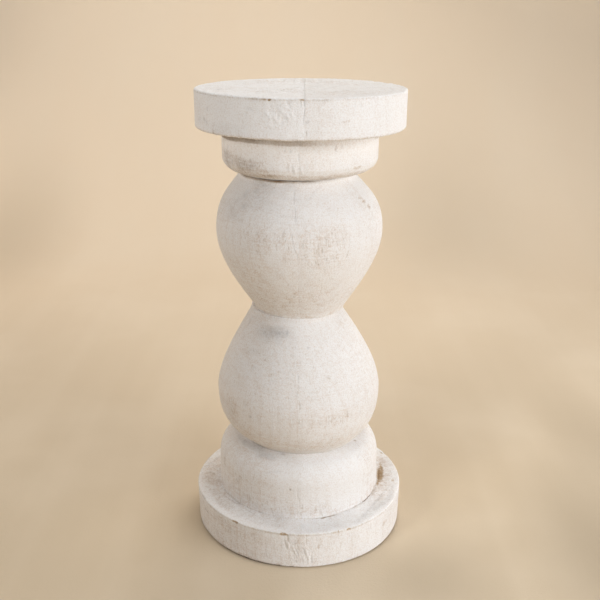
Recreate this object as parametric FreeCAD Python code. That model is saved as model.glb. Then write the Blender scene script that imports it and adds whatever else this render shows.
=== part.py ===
import FreeCAD, Part
import math
import os

# A turned wooden pillar stand, millimetres, +Z up, origin on the floor at the centre of the base.
#
# Six turned sections are stacked on one axis: base plate, drum, lower bulb, upper bulb, collar
# and top plate.  Each section is turned from a blank glued up from two boards, so it is a left
# and a right half that meet on the plane x = 0.  A fluted dowel, glued into stopped bores,
# joins each section to the next, and a felt disc is glued under the base.

# ---------------------------------------------------------------- driving dimensions

FELT_THICKNESS = 1.0
FELT_EDGE_MARGIN = 1.0            # from the felt's edge to the edge of the flat underside

BASE_HEIGHT = 26.0
BASE_TOP_RADIUS = 72.3
BASE_FOOT_RADIUS = 71.9           # the side leans in a little towards the floor
BASE_TOP_ROUND = 0.9
BASE_FOOT_ROUND = 1.0

DRUM_RADIUS = 55.7
DRUM_SIDE_HEIGHT = 22.4           # straight side, under the rounded shoulder
DRUM_SHOULDER_HEIGHT = 17.0
DRUM_TOP_FLAT = 0.8               # flat ring left outside the foot of the lower bulb
DRUM_FOOT_CHAMFER = 0.7

LOWER_BULB_HEIGHT = 92.6
LOWER_BELLY_SET_BACK = 0.2        # the belly stands this far inside the side of the drum
LOWER_BELLY_HEIGHT = 34.7         # above the bulb's own foot
LOWER_FOOT_RADIUS = 40.2
LOWER_FOOT_ANGLE = 37.0           # of the flank to the horizontal, degrees
LOWER_FOOT_PULL = 15.0            # how far the flank keeps that direction
LOWER_BELLY_PULL_DOWN = 14.9
LOWER_BELLY_PULL_UP = 16.6

WAIST_RADIUS = 29.2               # shared by the two bulbs
LOWER_WAIST_ANGLE = 59.7
LOWER_WAIST_PULL = 18.4
UPPER_WAIST_ANGLE = 55.2
UPPER_WAIST_PULL = 22.3

UPPER_BULB_HEIGHT = 90.0
UPPER_BELLY_RADIUS = 53.7
UPPER_BELLY_HEIGHT = 52.9
UPPER_BELLY_PULL_DOWN = 16.4
UPPER_BELLY_PULL_UP = 20.6
UPPER_NECK_RADIUS = 36.4
UPPER_NECK_ANGLE = 55.0
UPPER_NECK_PULL = 11.9

COLLAR_HEIGHT = 27.8
COLLAR_RADIUS = 49.1
COLLAR_FOOT_OVERHANG = 1.2        # beyond the neck of the upper bulb
COLLAR_ROUND_HEIGHT = 8.9         # of the rounded foot, under the straight side

PLATE_HEIGHT = 23.2
PLATE_RADIUS = 65.4
PLATE_TOP_ROUND = 2.0
PLATE_FOOT_ROUND = 1.6

GROOVE_DEPTH = 1.6                # the V between two sections, from the smaller of the two
GROOVE_HALF_WIDTH = 0.9
WAIST_GROOVE_DEPTH = 0.7
WAIST_GROOVE_HALF_WIDTH = 0.4

DOWEL_RADIUS = 6.0
DOWEL_END_CHAMFER = 0.8
FLUTE_COUNT = 10
FLUTE_RADIUS = 0.55
GLUE_GAP = 0.1                    # between a dowel and its bore
BORE_SPARE_DEPTH = 1.0            # room for glue beyond the end of a dowel

# How far each dowel reaches into the section below and into the section above its joint.
BASE_DOWEL_REACH = (16.0, 16.0)
DRUM_DOWEL_REACH = (16.0, 24.0)
WAIST_DOWEL_REACH = (30.0, 30.0)
NECK_DOWEL_REACH = (24.0, 10.0)
PLATE_DOWEL_REACH = (10.0, 14.0)

# ---------------------------------------------------------------- heights of the joints

BASE_BOTTOM = FELT_THICKNESS
BASE_JOINT = BASE_BOTTOM + BASE_HEIGHT
DRUM_JOINT = BASE_JOINT + DRUM_SIDE_HEIGHT + DRUM_SHOULDER_HEIGHT
WAIST_JOINT = DRUM_JOINT + LOWER_BULB_HEIGHT
NECK_JOINT = WAIST_JOINT + UPPER_BULB_HEIGHT
PLATE_JOINT = NECK_JOINT + COLLAR_HEIGHT
TOP = PLATE_JOINT + PLATE_HEIGHT

AXIS_FOOT = FreeCAD.Vector(0, 0, 0)
UP = FreeCAD.Vector(0, 0, 1)


# ---------------------------------------------------------------- outline pieces

def at(radius, height):
    """A point of the turning plane, which is the half plane x = 0, y <= 0."""
    return FreeCAD.Vector(0, -radius, height)


def line(start, end):
    """A straight stretch of an outline."""
    return Part.makeLine(start, end)


def polyline(*points):
    """Straight stretches through the points in turn."""
    return [line(a, b) for a, b in zip(points, points[1:])]


def flank(belly, belly_pull, end, end_pull, end_angle):
    """One side of a bulb, from its belly to its waist, neck or foot.

    A cubic curve that leaves the belly straight up or down and reaches the end at end_angle
    to the horizontal.  The two pulls say how far each end keeps its direction.
    """
    rise = math.copysign(1.0, end.z - belly.z)
    angle = math.radians(end_angle)
    out = end_pull * math.cos(angle)
    down = end_pull * math.sin(angle) * rise
    curve = Part.BezierCurve()
    curve.setPoles([
        belly,
        belly + FreeCAD.Vector(0, 0, rise * belly_pull),
        end + FreeCAD.Vector(0, -out, -down),
        end,
    ])
    return curve.toShape()


def reverse(edge):
    """The same stretch, drawn from its other end."""
    curve = edge.Curve.copy()
    curve.reverse()
    return curve.toShape()


def corner(before, at_corner, after, radius):
    """Two straight stretches with a tangent arc in their corner."""
    back = (before - at_corner).normalize()
    ahead = (after - at_corner).normalize()
    half_turn = back.getAngle(ahead) / 2
    reach = radius / math.tan(half_turn)
    arc_start = at_corner + back * reach
    arc_end = at_corner + ahead * reach
    bisector = (back + ahead).normalize()
    centre_distance = radius / math.sin(half_turn)
    arc_middle = at_corner + bisector * (centre_distance - radius)
    arc = Part.Arc(arc_start, arc_middle, arc_end).toShape()
    return [line(before, arc_start), arc, line(arc_end, after)]


def rounded_corner(start, end, at_corner):
    """A quarter of an ellipse from start to end, tangent to both sides of the corner."""
    centre = start + end - at_corner
    across = at_corner - end
    along = at_corner - start
    points = []
    for degrees in (0, 15, 30, 45, 60, 75, 90):
        angle = math.radians(degrees)
        points.append(centre + across * math.cos(angle) + along * math.sin(angle))
    curve = Part.BSplineCurve()
    curve.interpolate(Points=points, InitialTangent=along, FinalTangent=across * -1)
    return curve.toShape()


# ---------------------------------------------------------------- turned sections

def bore_depth(reach):
    """Depth of the stopped bore for a dowel that reaches this far."""
    return reach + BORE_SPARE_DEPTH


def right_half(outline, foot, head, foot_reach, head_reach):
    """Turn a closed half section through half a circle, on the +X side.

    outline runs from the foot joint to the head joint on the outside.  The inside is the
    axis, stepped out round a bore at each end that takes a dowel.
    """
    bore = DOWEL_RADIUS + GLUE_GAP
    outer_start = outline[0].valueAt(outline[0].FirstParameter)
    outer_end = outline[-1].valueAt(outline[-1].LastParameter)
    points = [outer_end]
    if head_reach:
        bottom = head - bore_depth(head_reach)
        points += [at(bore, head), at(bore, bottom), at(0, bottom)]
    else:
        points += [at(0, head)]
    if foot_reach:
        bottom = foot + bore_depth(foot_reach)
        points += [at(0, bottom), at(bore, bottom), at(bore, foot)]
    else:
        points += [at(0, foot)]
    points += [outer_start]
    wire = Part.Wire(outline + polyline(*points))
    return Part.Face(wire).revolve(AXIS_FOOT, UP, 180)


def base_plate():
    """A thick disc with a small lean and softened edges."""
    rim = at(BASE_TOP_RADIUS, BASE_JOINT)
    foot = at(BASE_FOOT_RADIUS, BASE_BOTTOM)
    middle = (rim + foot) * 0.5
    seat = at(DRUM_RADIUS - DRUM_FOOT_CHAMFER, BASE_JOINT)
    under = at(BASE_FOOT_RADIUS / 2, BASE_BOTTOM)
    outline = corner(under, foot, middle, BASE_FOOT_ROUND)
    outline += corner(middle, rim, seat, BASE_TOP_ROUND)
    return right_half(outline, BASE_BOTTOM, BASE_JOINT, 0, BASE_DOWEL_REACH[0])


def drum():
    """A short cylinder with a rounded shoulder."""
    shoulder_foot = at(DRUM_RADIUS, BASE_JOINT + DRUM_SIDE_HEIGHT)
    shoulder_head = at(LOWER_FOOT_RADIUS + DRUM_TOP_FLAT, DRUM_JOINT)
    outline = polyline(
        at(DRUM_RADIUS - DRUM_FOOT_CHAMFER, BASE_JOINT),
        at(DRUM_RADIUS, BASE_JOINT + DRUM_FOOT_CHAMFER),
        shoulder_foot,
    )
    outline.append(rounded_corner(shoulder_foot, shoulder_head, at(DRUM_RADIUS, DRUM_JOINT)))
    return right_half(outline, BASE_JOINT, DRUM_JOINT, BASE_DOWEL_REACH[1], DRUM_DOWEL_REACH[0])


def lower_bulb():
    """The lower bulb, fullest below its middle."""
    seat = at(LOWER_FOOT_RADIUS - GROOVE_DEPTH, DRUM_JOINT)
    foot = at(LOWER_FOOT_RADIUS, DRUM_JOINT + GROOVE_HALF_WIDTH)
    belly = at(DRUM_RADIUS - LOWER_BELLY_SET_BACK, DRUM_JOINT + LOWER_BELLY_HEIGHT)
    waist = at(WAIST_RADIUS, WAIST_JOINT - WAIST_GROOVE_HALF_WIDTH)
    outline = [
        line(seat, foot),
        reverse(flank(belly, LOWER_BELLY_PULL_DOWN, foot, LOWER_FOOT_PULL, LOWER_FOOT_ANGLE)),
        flank(belly, LOWER_BELLY_PULL_UP, waist, LOWER_WAIST_PULL, LOWER_WAIST_ANGLE),
        line(waist, at(WAIST_RADIUS - WAIST_GROOVE_DEPTH, WAIST_JOINT)),
    ]
    return right_half(outline, DRUM_JOINT, WAIST_JOINT, DRUM_DOWEL_REACH[1], WAIST_DOWEL_REACH[0])


def upper_bulb():
    """The upper bulb, fullest above its middle."""
    waist = at(WAIST_RADIUS, WAIST_JOINT + WAIST_GROOVE_HALF_WIDTH)
    belly = at(UPPER_BELLY_RADIUS, WAIST_JOINT + UPPER_BELLY_HEIGHT)
    neck = at(UPPER_NECK_RADIUS, NECK_JOINT - GROOVE_HALF_WIDTH)
    outline = [
        line(at(WAIST_RADIUS - WAIST_GROOVE_DEPTH, WAIST_JOINT), waist),
        reverse(flank(belly, UPPER_BELLY_PULL_DOWN, waist, UPPER_WAIST_PULL, UPPER_WAIST_ANGLE)),
        flank(belly, UPPER_BELLY_PULL_UP, neck, UPPER_NECK_PULL, UPPER_NECK_ANGLE),
        line(neck, at(UPPER_NECK_RADIUS - GROOVE_DEPTH, NECK_JOINT)),
    ]
    return right_half(outline, WAIST_JOINT, NECK_JOINT, WAIST_DOWEL_REACH[1], NECK_DOWEL_REACH[0])


def collar():
    """A short cylinder, rounded in to the neck of the bulb under it."""
    seat = at(UPPER_NECK_RADIUS - GROOVE_DEPTH, NECK_JOINT)
    foot = at(UPPER_NECK_RADIUS + COLLAR_FOOT_OVERHANG, NECK_JOINT + GROOVE_HALF_WIDTH)
    side_foot = foot + FreeCAD.Vector(0, 0, COLLAR_ROUND_HEIGHT)
    side_foot.y = -COLLAR_RADIUS
    under_side = FreeCAD.Vector(0, side_foot.y, foot.z)
    outline = [
        line(seat, foot),
        rounded_corner(foot, side_foot, under_side),
        line(side_foot, at(COLLAR_RADIUS, PLATE_JOINT)),
    ]
    return right_half(outline, NECK_JOINT, PLATE_JOINT, NECK_DOWEL_REACH[1], PLATE_DOWEL_REACH[0])


def top_plate():
    """The flat disc that the candle stands on."""
    foot = at(PLATE_RADIUS, PLATE_JOINT)
    rim = at(PLATE_RADIUS, TOP)
    middle = (rim + foot) * 0.5
    outline = corner(at(COLLAR_RADIUS, PLATE_JOINT), foot, middle, PLATE_FOOT_ROUND)
    outline += corner(middle, rim, at(PLATE_RADIUS / 2, TOP), PLATE_TOP_ROUND)
    return right_half(outline, PLATE_JOINT, TOP, PLATE_DOWEL_REACH[1], 0)


# ---------------------------------------------------------------- dowels and felt

def dowel(joint, reach):
    """A round dowel across one joint, with chamfered ends and glue flutes along it."""
    low = joint - reach[0]
    high = joint + reach[1]
    wire = Part.makePolygon([
        at(0, low),
        at(DOWEL_RADIUS - DOWEL_END_CHAMFER, low),
        at(DOWEL_RADIUS, low + DOWEL_END_CHAMFER),
        at(DOWEL_RADIUS, high - DOWEL_END_CHAMFER),
        at(DOWEL_RADIUS - DOWEL_END_CHAMFER, high),
        at(0, high),
        at(0, low),
    ])
    pin = Part.Face(wire).revolve(AXIS_FOOT, UP, 360)
    flutes = []
    for index in range(FLUTE_COUNT):
        angle = 2 * math.pi * (index + 0.5) / FLUTE_COUNT
        foot = FreeCAD.Vector(DOWEL_RADIUS * math.cos(angle), DOWEL_RADIUS * math.sin(angle), low)
        flutes.append(Part.makeCylinder(FLUTE_RADIUS, high - low, foot, UP))
    return pin.cut(flutes)


def felt_pad():
    """The felt disc under the base."""
    radius = BASE_FOOT_RADIUS - BASE_FOOT_ROUND - FELT_EDGE_MARGIN
    return Part.makeCylinder(radius, FELT_THICKNESS)


# ---------------------------------------------------------------- the stand

SECTIONS = {
    "base_plate": base_plate,
    "drum": drum,
    "lower_bulb": lower_bulb,
    "upper_bulb": upper_bulb,
    "collar": collar,
    "top_plate": top_plate,
}

DOWELS = {
    "base_dowel": (BASE_JOINT, BASE_DOWEL_REACH),
    "drum_dowel": (DRUM_JOINT, DRUM_DOWEL_REACH),
    "waist_dowel": (WAIST_JOINT, WAIST_DOWEL_REACH),
    "neck_dowel": (NECK_JOINT, NECK_DOWEL_REACH),
    "plate_dowel": (PLATE_JOINT, PLATE_DOWEL_REACH),
}


def stand():
    """Every piece of the stand, by name."""
    pieces = {}
    for name, turn in SECTIONS.items():
        right = turn()
        left = right.copy()
        left.rotate(AXIS_FOOT, UP, 180)
        pieces[name + "_right"] = right
        pieces[name + "_left"] = left
    for name, (joint, reach) in DOWELS.items():
        pieces[name] = dowel(joint, reach)
    pieces["felt_pad"] = felt_pad()
    return pieces


os.makedirs("parts", exist_ok=True)
for name, shape in stand().items():
    if not shape.isValid() or len(shape.Solids) != 1:
        raise ValueError(name + " is not one valid solid")
    shape.exportStep("parts/" + name + ".step")
    box = shape.BoundBox
    print(f"{name:18s} {shape.Volume / 1000:8.1f} cm3  z {box.ZMin:7.2f} to {box.ZMax:7.2f}")
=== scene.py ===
import math
from collections import namedtuple

import bpy
import numpy as np
from mathutils import Matrix


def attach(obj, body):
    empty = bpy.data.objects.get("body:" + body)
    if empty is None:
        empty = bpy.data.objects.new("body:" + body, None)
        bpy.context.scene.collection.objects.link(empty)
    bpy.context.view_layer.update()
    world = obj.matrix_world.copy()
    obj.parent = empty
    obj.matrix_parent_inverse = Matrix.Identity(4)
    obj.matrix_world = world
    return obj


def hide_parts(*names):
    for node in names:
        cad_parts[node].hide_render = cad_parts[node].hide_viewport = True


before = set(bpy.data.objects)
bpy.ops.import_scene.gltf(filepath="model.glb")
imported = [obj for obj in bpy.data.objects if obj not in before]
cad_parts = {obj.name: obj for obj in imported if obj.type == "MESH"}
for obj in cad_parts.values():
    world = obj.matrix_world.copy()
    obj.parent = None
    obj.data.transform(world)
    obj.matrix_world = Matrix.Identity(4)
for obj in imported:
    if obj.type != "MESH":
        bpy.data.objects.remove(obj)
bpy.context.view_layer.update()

bl_info = {
    "name": "Whitewashed pillar stand",
    "version": (1, 0, 0),
    "blender": (4, 5, 0),
    "location": "View3D > Sidebar > Pillar stand",
    "description": "Surface, finish and studio for a turned wooden pillar stand",
    "category": "Add Mesh",
}

MM = 0.001
BODY = "root"

# The camera's sensor in millimetres, and how far it stands towards +X, in metres.
SENSOR_WIDTH = 36.0
CAMERA_ASIDE = 0.0005

# ---------------------------------------------------------------- the six turned sections

# seam is where the glue line lies beside the axis, at the foot and at the head.  step is the
# distance between the grid's points.  pith is the heart of the tree, which the growth rings go
# round, and warmth is how yellow the wash is, for the left board and the right one.  offset is
# where a section's axis stands beside the stand's own, because the sections were glued up by
# eye, and tilt is how far its head leans from its foot.  oval squashes it.  flat_points are
# the points across its seam plane, and fine_reach is how far from the seam its points are
# closer together.  ring_face is the end that shows as a ring round a smaller section.  All
# lengths are in millimetres.
Section = namedtuple(
    "Section", "name seam step pith warmth offset tilt oval flat_points fine_reach top_face "
    "ring_face", defaults=((0.0, 0.0), (0.0, 0.0), (1.0, 1.0), 24, 3.0, False, ""))

SECTIONS = {section.name: section for section in (
    Section("top_plate", (2.1, 2.3), 0.66, ((-70.0, 46.0), (16.0, 58.0)), (0.05, 0.5),
            offset=(0.3, 0.0), flat_points=190, fine_reach=2.0, top_face=True,
            ring_face="foot"),
    Section("collar", (-0.6, -0.4), 0.42, ((-58.0, 40.0), (44.0, -60.0)), (0.1, 0.6),
            offset=(0.1, 0.0), fine_reach=2.5),
    Section("upper_bulb", (0.6, -3.4), 0.52, ((-46.0, 62.0), (30.0, -74.0)), (0.65, 0.8),
            offset=(-0.15, 0.0)),
    Section("lower_bulb", (2.6, -1.8), 0.52, ((-60.0, -52.0), (52.0, 48.0)), (1.0, 0.8),
            offset=(-0.1, 0.0), tilt=(-0.5, 0.0)),
    Section("drum", (1.8, 2.0), 0.5, ((-38.0, 70.0), (64.0, 30.0)), (0.85, 0.5),
            offset=(0.1, 0.0)),
    Section("base_plate", (1.9, 1.9), 0.61, ((-66.0, -20.0), (36.0, 66.0)), (0.6, 0.1),
            offset=(0.3, -1.2), oval=(1.0, 0.983), flat_points=90, fine_reach=14.0,
            ring_face="head"),
)}

# Which way along X each board of a section lies.
SIDES = {"left": -1.0, "right": 1.0}

# An end face's loops shrink towards a pole this share of its radius away from the seam.  The
# first two are near the rim, then from EVEN_FROM millimetres in they are FACE_STEP steps
# apart, and past the part that shows there are a few more.  A face that is hidden has three.
POLE = 0.42
RIM_LOOPS = (0.15, 0.35)
EVEN_FROM = 0.65
FACE_STEP = 0.62
HIDDEN_LOOPS = 6
HIDDEN_FACE = (0.97, 0.7, 0.35)

# How much of the way to the pole a face shows when it is a ring round a smaller section.
RING_SEEN = 0.45

# Points of a CAD outline lie this near the seam plane, in millimetres, and further out than
# this share of the widest radius, which leaves out the dowel's bore.
SEAM_PLANE = 0.01
PAST_BORE = 0.35

# An outline gets one more row for each of these degrees of turn, spread over this reach.
ROW_TURN = 9
TURN_REACH = 0.5

# Points are this much denser near the seam, and this much more right at it, over this reach.
NEAR_SEAM = 1.4
AT_SEAM = 3
AT_SEAM_REACH = 0.8

# Slow lumps that hand sanding left and finer ones: depth, size and place in the seeds.
SANDING = ((0.16, 26.0, 0), (0.06, 5.0, 1), (0.045, 2.2, 6))

# Fine rings left by the tool, and pores up the grain that come in patches: their depth, the
# size of their noise, and how much of each coat a pore takes.
TOOL_DEPTH = 0.018
TOOL_SIZE = (0.9, 1.1, 1.0)
PORE_DEPTH = 0.07
PORE_SIZE = (0.9, 0.9, 6.0)
PORE_PATCH = (20.0, 20.0, 26.0)
PORE_COATS = (0.1, 0.2, 0.0, 0.0)

# The groove at the seam: its width, its depth where it is closed, how much deeper it is where
# it has opened, and how bare it is there.
SEAM_WIDTH = 0.5
SEAM_DEPTH = 0.015
OPEN_DEPTH = 0.07
OPEN_BARE = 0.08
OPEN_LENGTH = 8.0

# The lumps that make a mark rough.
ROUGH_SIZE = 2.4

# A section's own seeds start here, and its marks, rings and bands add these to them.
FIRST_SEED = 100
SECTION_SEEDS = 10
MARK_SEED = 200
RING_SEED = 400
BAND_SEED = 500

# Each soft light stands round the place it lights: its name, azimuth from the front towards +X
# and elevation in degrees, distance and size in metres, power in watts, tint, and that place.
MIDDLE = (0.0, 0.0, 0.15)
LIGHTS = (
    ("key", 54.0, 13.0, 1.2, 0.8, 10.0, (0.975, 1.0, 1.05), MIDDLE),
    ("side", 82.0, 16.0, 1.1, 0.6, 1.9, (0.975, 1.0, 1.05), MIDDLE),
    ("overhead", 0.0, 88.0, 1.1, 1.1, 4.4, (1.0, 1.0, 1.0), MIDDLE),
    ("front", -40.0, 25.0, 0.8, 0.2, 1.82, (1.0, 1.0, 1.02), MIDDLE),
    ("back", 150.0, 50.0, 0.8, 0.4, 2.2, (1.0, 0.98, 0.95), MIDDLE),
    ("rim", -125.0, 12.0, 1.0, 0.5, 1.6, (1.06, 0.95, 0.84), MIDDLE),
    ("wall", 0.0, 40.0, 0.483, 0.5, 0.66, (0.99, 1.0, 1.04), (-0.04, 0.99, 0.38)),
    ("corner", 0.0, 40.0, 0.483, 0.2, 0.34, (0.98, 1.0, 1.06), (-0.52, 1.02, 0.38)),
)

# Painted shade on the backdrop: darker patches where the lights fall off, in metres: middle x
# and y, half widths in x and y, and then strength.
SHADES = (
    (-0.20, -0.06, 0.10, 0.16, 0.35),
    (0.25, 0.09, 0.06, 0.16, 0.5),
    (0.21, -0.06, 0.07, 0.16, 0.95),
    (0.08, -0.08, 0.07, 0.07, 0.65),
    (-0.44, 0.64, 0.16, 0.28, 0.5),
    (0.22, 0.68, 0.20, 0.28, 0.38),
)


# ---------------------------------------------------------------- noise

def lattice(ix, iy, iz, seed):
    """One fixed number from 0 to 1 for each whole-number place, by mixing its bits."""
    bits = (ix * 374761393 + iy * 668265263 + iz * 974634777 + seed * 144665) & 0xFFFFFFFF
    bits = ((bits ^ (bits >> 13)) * 1274126177) & 0xFFFFFFFF
    bits = ((bits ^ (bits >> 15)) * 668265263) & 0xFFFFFFFF
    return (bits ^ (bits >> 16)) / 4294967295.0


def noise(points, cell, seed):
    """Smooth noise from -1 to 1 over points (n, 3), with lumps the size of cell.

    Each corner of the lattice cell round a point holds a fixed random number.  The value is
    their mean, weighted by the smoothstep 3t^2 - 2t^3 of the point's place in the cell.
    """
    scaled = points / np.asarray(cell, float)
    low = np.floor(scaled).astype(np.int64)
    part = scaled - low
    part = part * part * (3 - 2 * part)
    total = np.zeros(len(points))
    for dx in (0, 1):
        for dy in (0, 1):
            for dz in (0, 1):
                weight = (np.where(dx, part[:, 0], 1 - part[:, 0])
                          * np.where(dy, part[:, 1], 1 - part[:, 1])
                          * np.where(dz, part[:, 2], 1 - part[:, 2]))
                total += weight * lattice(low[:, 0] + dx, low[:, 1] + dy, low[:, 2] + dz, seed)
    return 2 * total - 1


def rough_noise(points, cell, seed, octaves=3):
    """Noise with finer and finer noise added, each octave half as large and half as strong."""
    cell = np.asarray(cell, float)
    total = np.zeros(len(points))
    strength = 1.0
    for octave in range(octaves):
        total += strength * noise(points, cell, seed + 17 * octave)
        cell = cell / 2
        strength /= 2
    return total / (2 - 2 * strength)


def smoothstep(low, high, value):
    """0 below low, 1 above high, and 3t^2 - 2t^3 between."""
    t = np.clip((value - low) / (high - low), 0, 1)
    return t * t * (3 - 2 * t)


# ---------------------------------------------------------------- from CAD node to grid

def outline(node):
    """The node's outline in its turning plane, from foot to head: rows of radius and height.

    It is read off the CAD mesh: the corner points in the seam plane, on the -Y side, that lie
    outside the dowel's bore, sorted by height.
    """
    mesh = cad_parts[node].data
    flat = np.empty(len(mesh.vertices) * 3, np.float32)
    mesh.vertices.foreach_get("co", flat)
    points = flat.reshape(-1, 3).astype(float) / MM
    in_plane = np.abs(points[:, 0]) < SEAM_PLANE
    in_plane &= points[:, 1] < -PAST_BORE * np.abs(points[:, 1]).max()
    pairs = np.unique(np.round(np.c_[points[in_plane, 2], -points[in_plane, 1]], 3), axis=0)
    pairs = pairs[np.lexsort((pairs[:, 1], pairs[:, 0]))]
    top = pairs[:, 0] > pairs[:, 0].max() - 0.001
    head = pairs[top][::-1]
    return np.vstack([pairs[~top], head])[:, ::-1]


def spread(fine, density):
    """Places along a line, one wherever the running sum of its density passes a whole number."""
    count = np.r_[0, np.cumsum((density[1:] + density[:-1]) / 2 * np.diff(fine))]
    return np.interp(np.linspace(0, count[-1], int(count[-1]) + 1), count, fine)


def resample(line, step):
    """The outline as evenly spaced rows, closer together where it turns.

    There is a row for each step of length and one more for each ROW_TURN degrees of turn, the
    turn being spread as a bell, exp(-d^2), of the distance over TURN_REACH.
    """
    keep = np.r_[True, np.hypot(*np.diff(line, axis=0).T) > 1e-4]
    line = line[keep]
    pieces = np.diff(line, axis=0)
    lengths = np.hypot(pieces[:, 0], pieces[:, 1])
    run = np.r_[0, np.cumsum(lengths)]
    heading = np.unwrap(np.arctan2(pieces[:, 1], pieces[:, 0]))
    turn = np.abs(np.diff(heading))
    fine = np.linspace(0, run[-1], 4000)
    density = np.full(len(fine), 1 / step)
    for place, angle in zip(run[1:-1], turn):
        bell = np.exp(-((fine - place) / TURN_REACH) ** 2)
        density += np.degrees(angle) / ROW_TURN * bell / (TURN_REACH * math.sqrt(math.pi))
    rows = spread(fine, density)
    return np.c_[np.interp(rows, run, line[:, 0]), np.interp(rows, run, line[:, 1])]


def across_seam(count):
    """Places across a flat side from +1 to -1: the sines of even angles, ends left out."""
    return np.sin(np.linspace(math.pi / 2, -math.pi / 2, count + 2)[1:-1])


def half_loop(radius, section):
    """Once round a half section, anticlockwise: unit points and whether each is on the arc.

    The arc runs from -Y round +X to +Y, with its points closer together near the seams, and
    the flat side runs back along the seam plane, at the sine of even angles.
    """
    length = math.pi * radius
    fine = np.linspace(0, length, 6000)
    edge = np.minimum(fine, length - fine)
    near = np.exp(-(edge / section.fine_reach) ** 4)
    at_seam = np.exp(-(edge / AT_SEAM_REACH) ** 2)
    density = (1 + NEAR_SEAM * near + AT_SEAM * at_seam) / section.step
    angles = spread(fine, density) / radius - math.pi / 2
    arc = np.c_[np.cos(angles), np.sin(angles)]
    back = across_seam(section.flat_points)
    flat = np.c_[np.zeros(len(back)), back]
    on_arc = np.r_[np.ones(len(arc), bool), np.zeros(len(flat), bool)]
    return np.vstack([arc, flat]), on_arc


def face_levels(radius, visible, step):
    """How far the loops of an end face have shrunk towards its pole, from rim to pole.

    Loops are close together over the part that shows and few over the part that another
    section hides.
    """
    reach = POLE * radius
    if not visible:
        return np.array(HIDDEN_FACE)
    fine = np.r_[RIM_LOOPS, np.arange(EVEN_FROM, visible * reach, step * FACE_STEP)] / reach
    coarse = np.linspace(visible, 1, HIDDEN_LOOPS)[1:-1] if visible < 1 else np.array([])
    return 1 - np.r_[fine, coarse]


Grid = namedtuple("Grid", "points normals on_arc side_rows radius")


def half_grid(section, node):
    """The smooth turned half, before wear: a pole, rows of loops and a pole, all in millimetres.

    Rows go up the outside.  A side row is the half loop times the outline's radius there.  An
    end face row is the rim's loop shrunk towards the face's pole.
    """
    line = resample(outline(node), section.step)
    widest = line[:, 0].max()
    loop, on_arc = half_loop(widest, section)
    slope = np.gradient(line, axis=0)
    slope /= np.linalg.norm(slope, axis=1)[:, None]
    blocks = []
    normals = []

    def face(rim, height, levels, up):
        pole = np.array([POLE * rim, 0.0])
        for level in levels:
            flat = pole + level * (rim * loop - pole)
            blocks.append(np.c_[flat, np.full(len(loop), height)])
            normals.append(np.tile([0.0, 0.0, up], (len(loop), 1)))

    foot_seen = RING_SEEN if section.ring_face == "foot" else 0
    head_seen = 1.0 if section.top_face else RING_SEEN if section.ring_face == "head" else 0
    face(line[0, 0], line[0, 1], face_levels(line[0, 0], foot_seen, section.step)[::-1], -1.0)
    foot_rows = len(blocks)
    for (radius, height), (run, rise) in zip(line, slope):
        blocks.append(np.c_[radius * loop, np.full(len(loop), height)])
        normals.append(np.c_[rise * loop, np.full(len(loop), -run)])
    side_rows = slice(foot_rows, len(blocks))
    face(line[-1, 0], line[-1, 1], face_levels(line[-1, 0], head_seen, section.step), 1.0)
    return Grid(np.array(blocks), np.array(normals), on_arc, side_rows, widest)


# ---------------------------------------------------------------- wear

# What wear does where it acts fully.  depth and rough are millimetres: a hollow, and how far
# lumps stand out of it.  bare takes the wash off.  The thin coat lets the wood tint the wash,
# and in broad bands and marks on shaded sides and undersides it is painted shade.  The grime
# coat greys the wash: real grime, and painted shadow where the lower bulb sits on the drum.
# The stain coat browns it: real stain, and painted shadow under the plate and along the foot.
# An amount below 0 works against the wear round it: a depth stands proud, and a thin coat
# below 0 keeps the wash whole, which on lit sides is painted light.
Wear = namedtuple("Wear", "depth rough bare thin grime stain", defaults=(0.0,) * 6)
COATS = ("bare", "thin", "grime", "stain")

# A mark is a stroke.  Its middle is given by azimuth (0 at the front, positive towards +X,
# degrees), radius and height.  It is long up the side, or towards the middle of a flat face,
# and tilt turns it from there, clockwise seen from outside.
Mark = namedtuple("Mark", "azimuth radius height long wide tilt wear")

# A ring is a line round the section near one radius and height, between two azimuths.
Ring = namedtuple("Ring", "radius height wide from_ to wear")

# A band lies between two heights of the side, or between two radii of a flat face.
Band = namedtuple("Band", "on low high soft from_ to wear")

ALL_ROUND = (-400.0, 400.0)

# Something that doesn't run all round fades out over these degrees past each of its ends.
FADE_FROM = -4
FADE_TO = 12

# Wear further round than this, in degrees, is on a flank and isn't repeated behind.
FLANK = 70.0

# Wear at this height, in millimetres, is on the plate's top face.
TOP_FACE = 299.9

# The letters that say what wear does in the tables below, so "d.15 b.1" is a hollow 0.15
# millimetres deep where a tenth of the wash has gone.
LETTERS = {"d": "depth", "r": "rough", "b": "bare", "t": "thin", "g": "grime", "s": "stain"}


def table(kind, text):
    """Read rows of marks, rings or bands, one to a line.

    A row has the kind's own columns, in order, and then a letter and an amount for each thing
    that its wear does.  "all" stands for the two azimuths of something that runs all round, and
    a line that ends with a colon says where the rows under it are.
    """
    rows = []
    for line in text.strip().splitlines():
        if line.endswith(":"):
            continue
        columns = []
        wear = {}
        for word in line.split():
            if word == "all":
                columns += ALL_ROUND
            elif word in ("height", "radius"):
                columns.append(word)
            elif word[0] in LETTERS:
                wear[LETTERS[word[0]]] = float(word[1:])
            else:
                columns.append(float(word))
        rows.append(kind(*columns, Wear(**wear)))
    return rows


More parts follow.
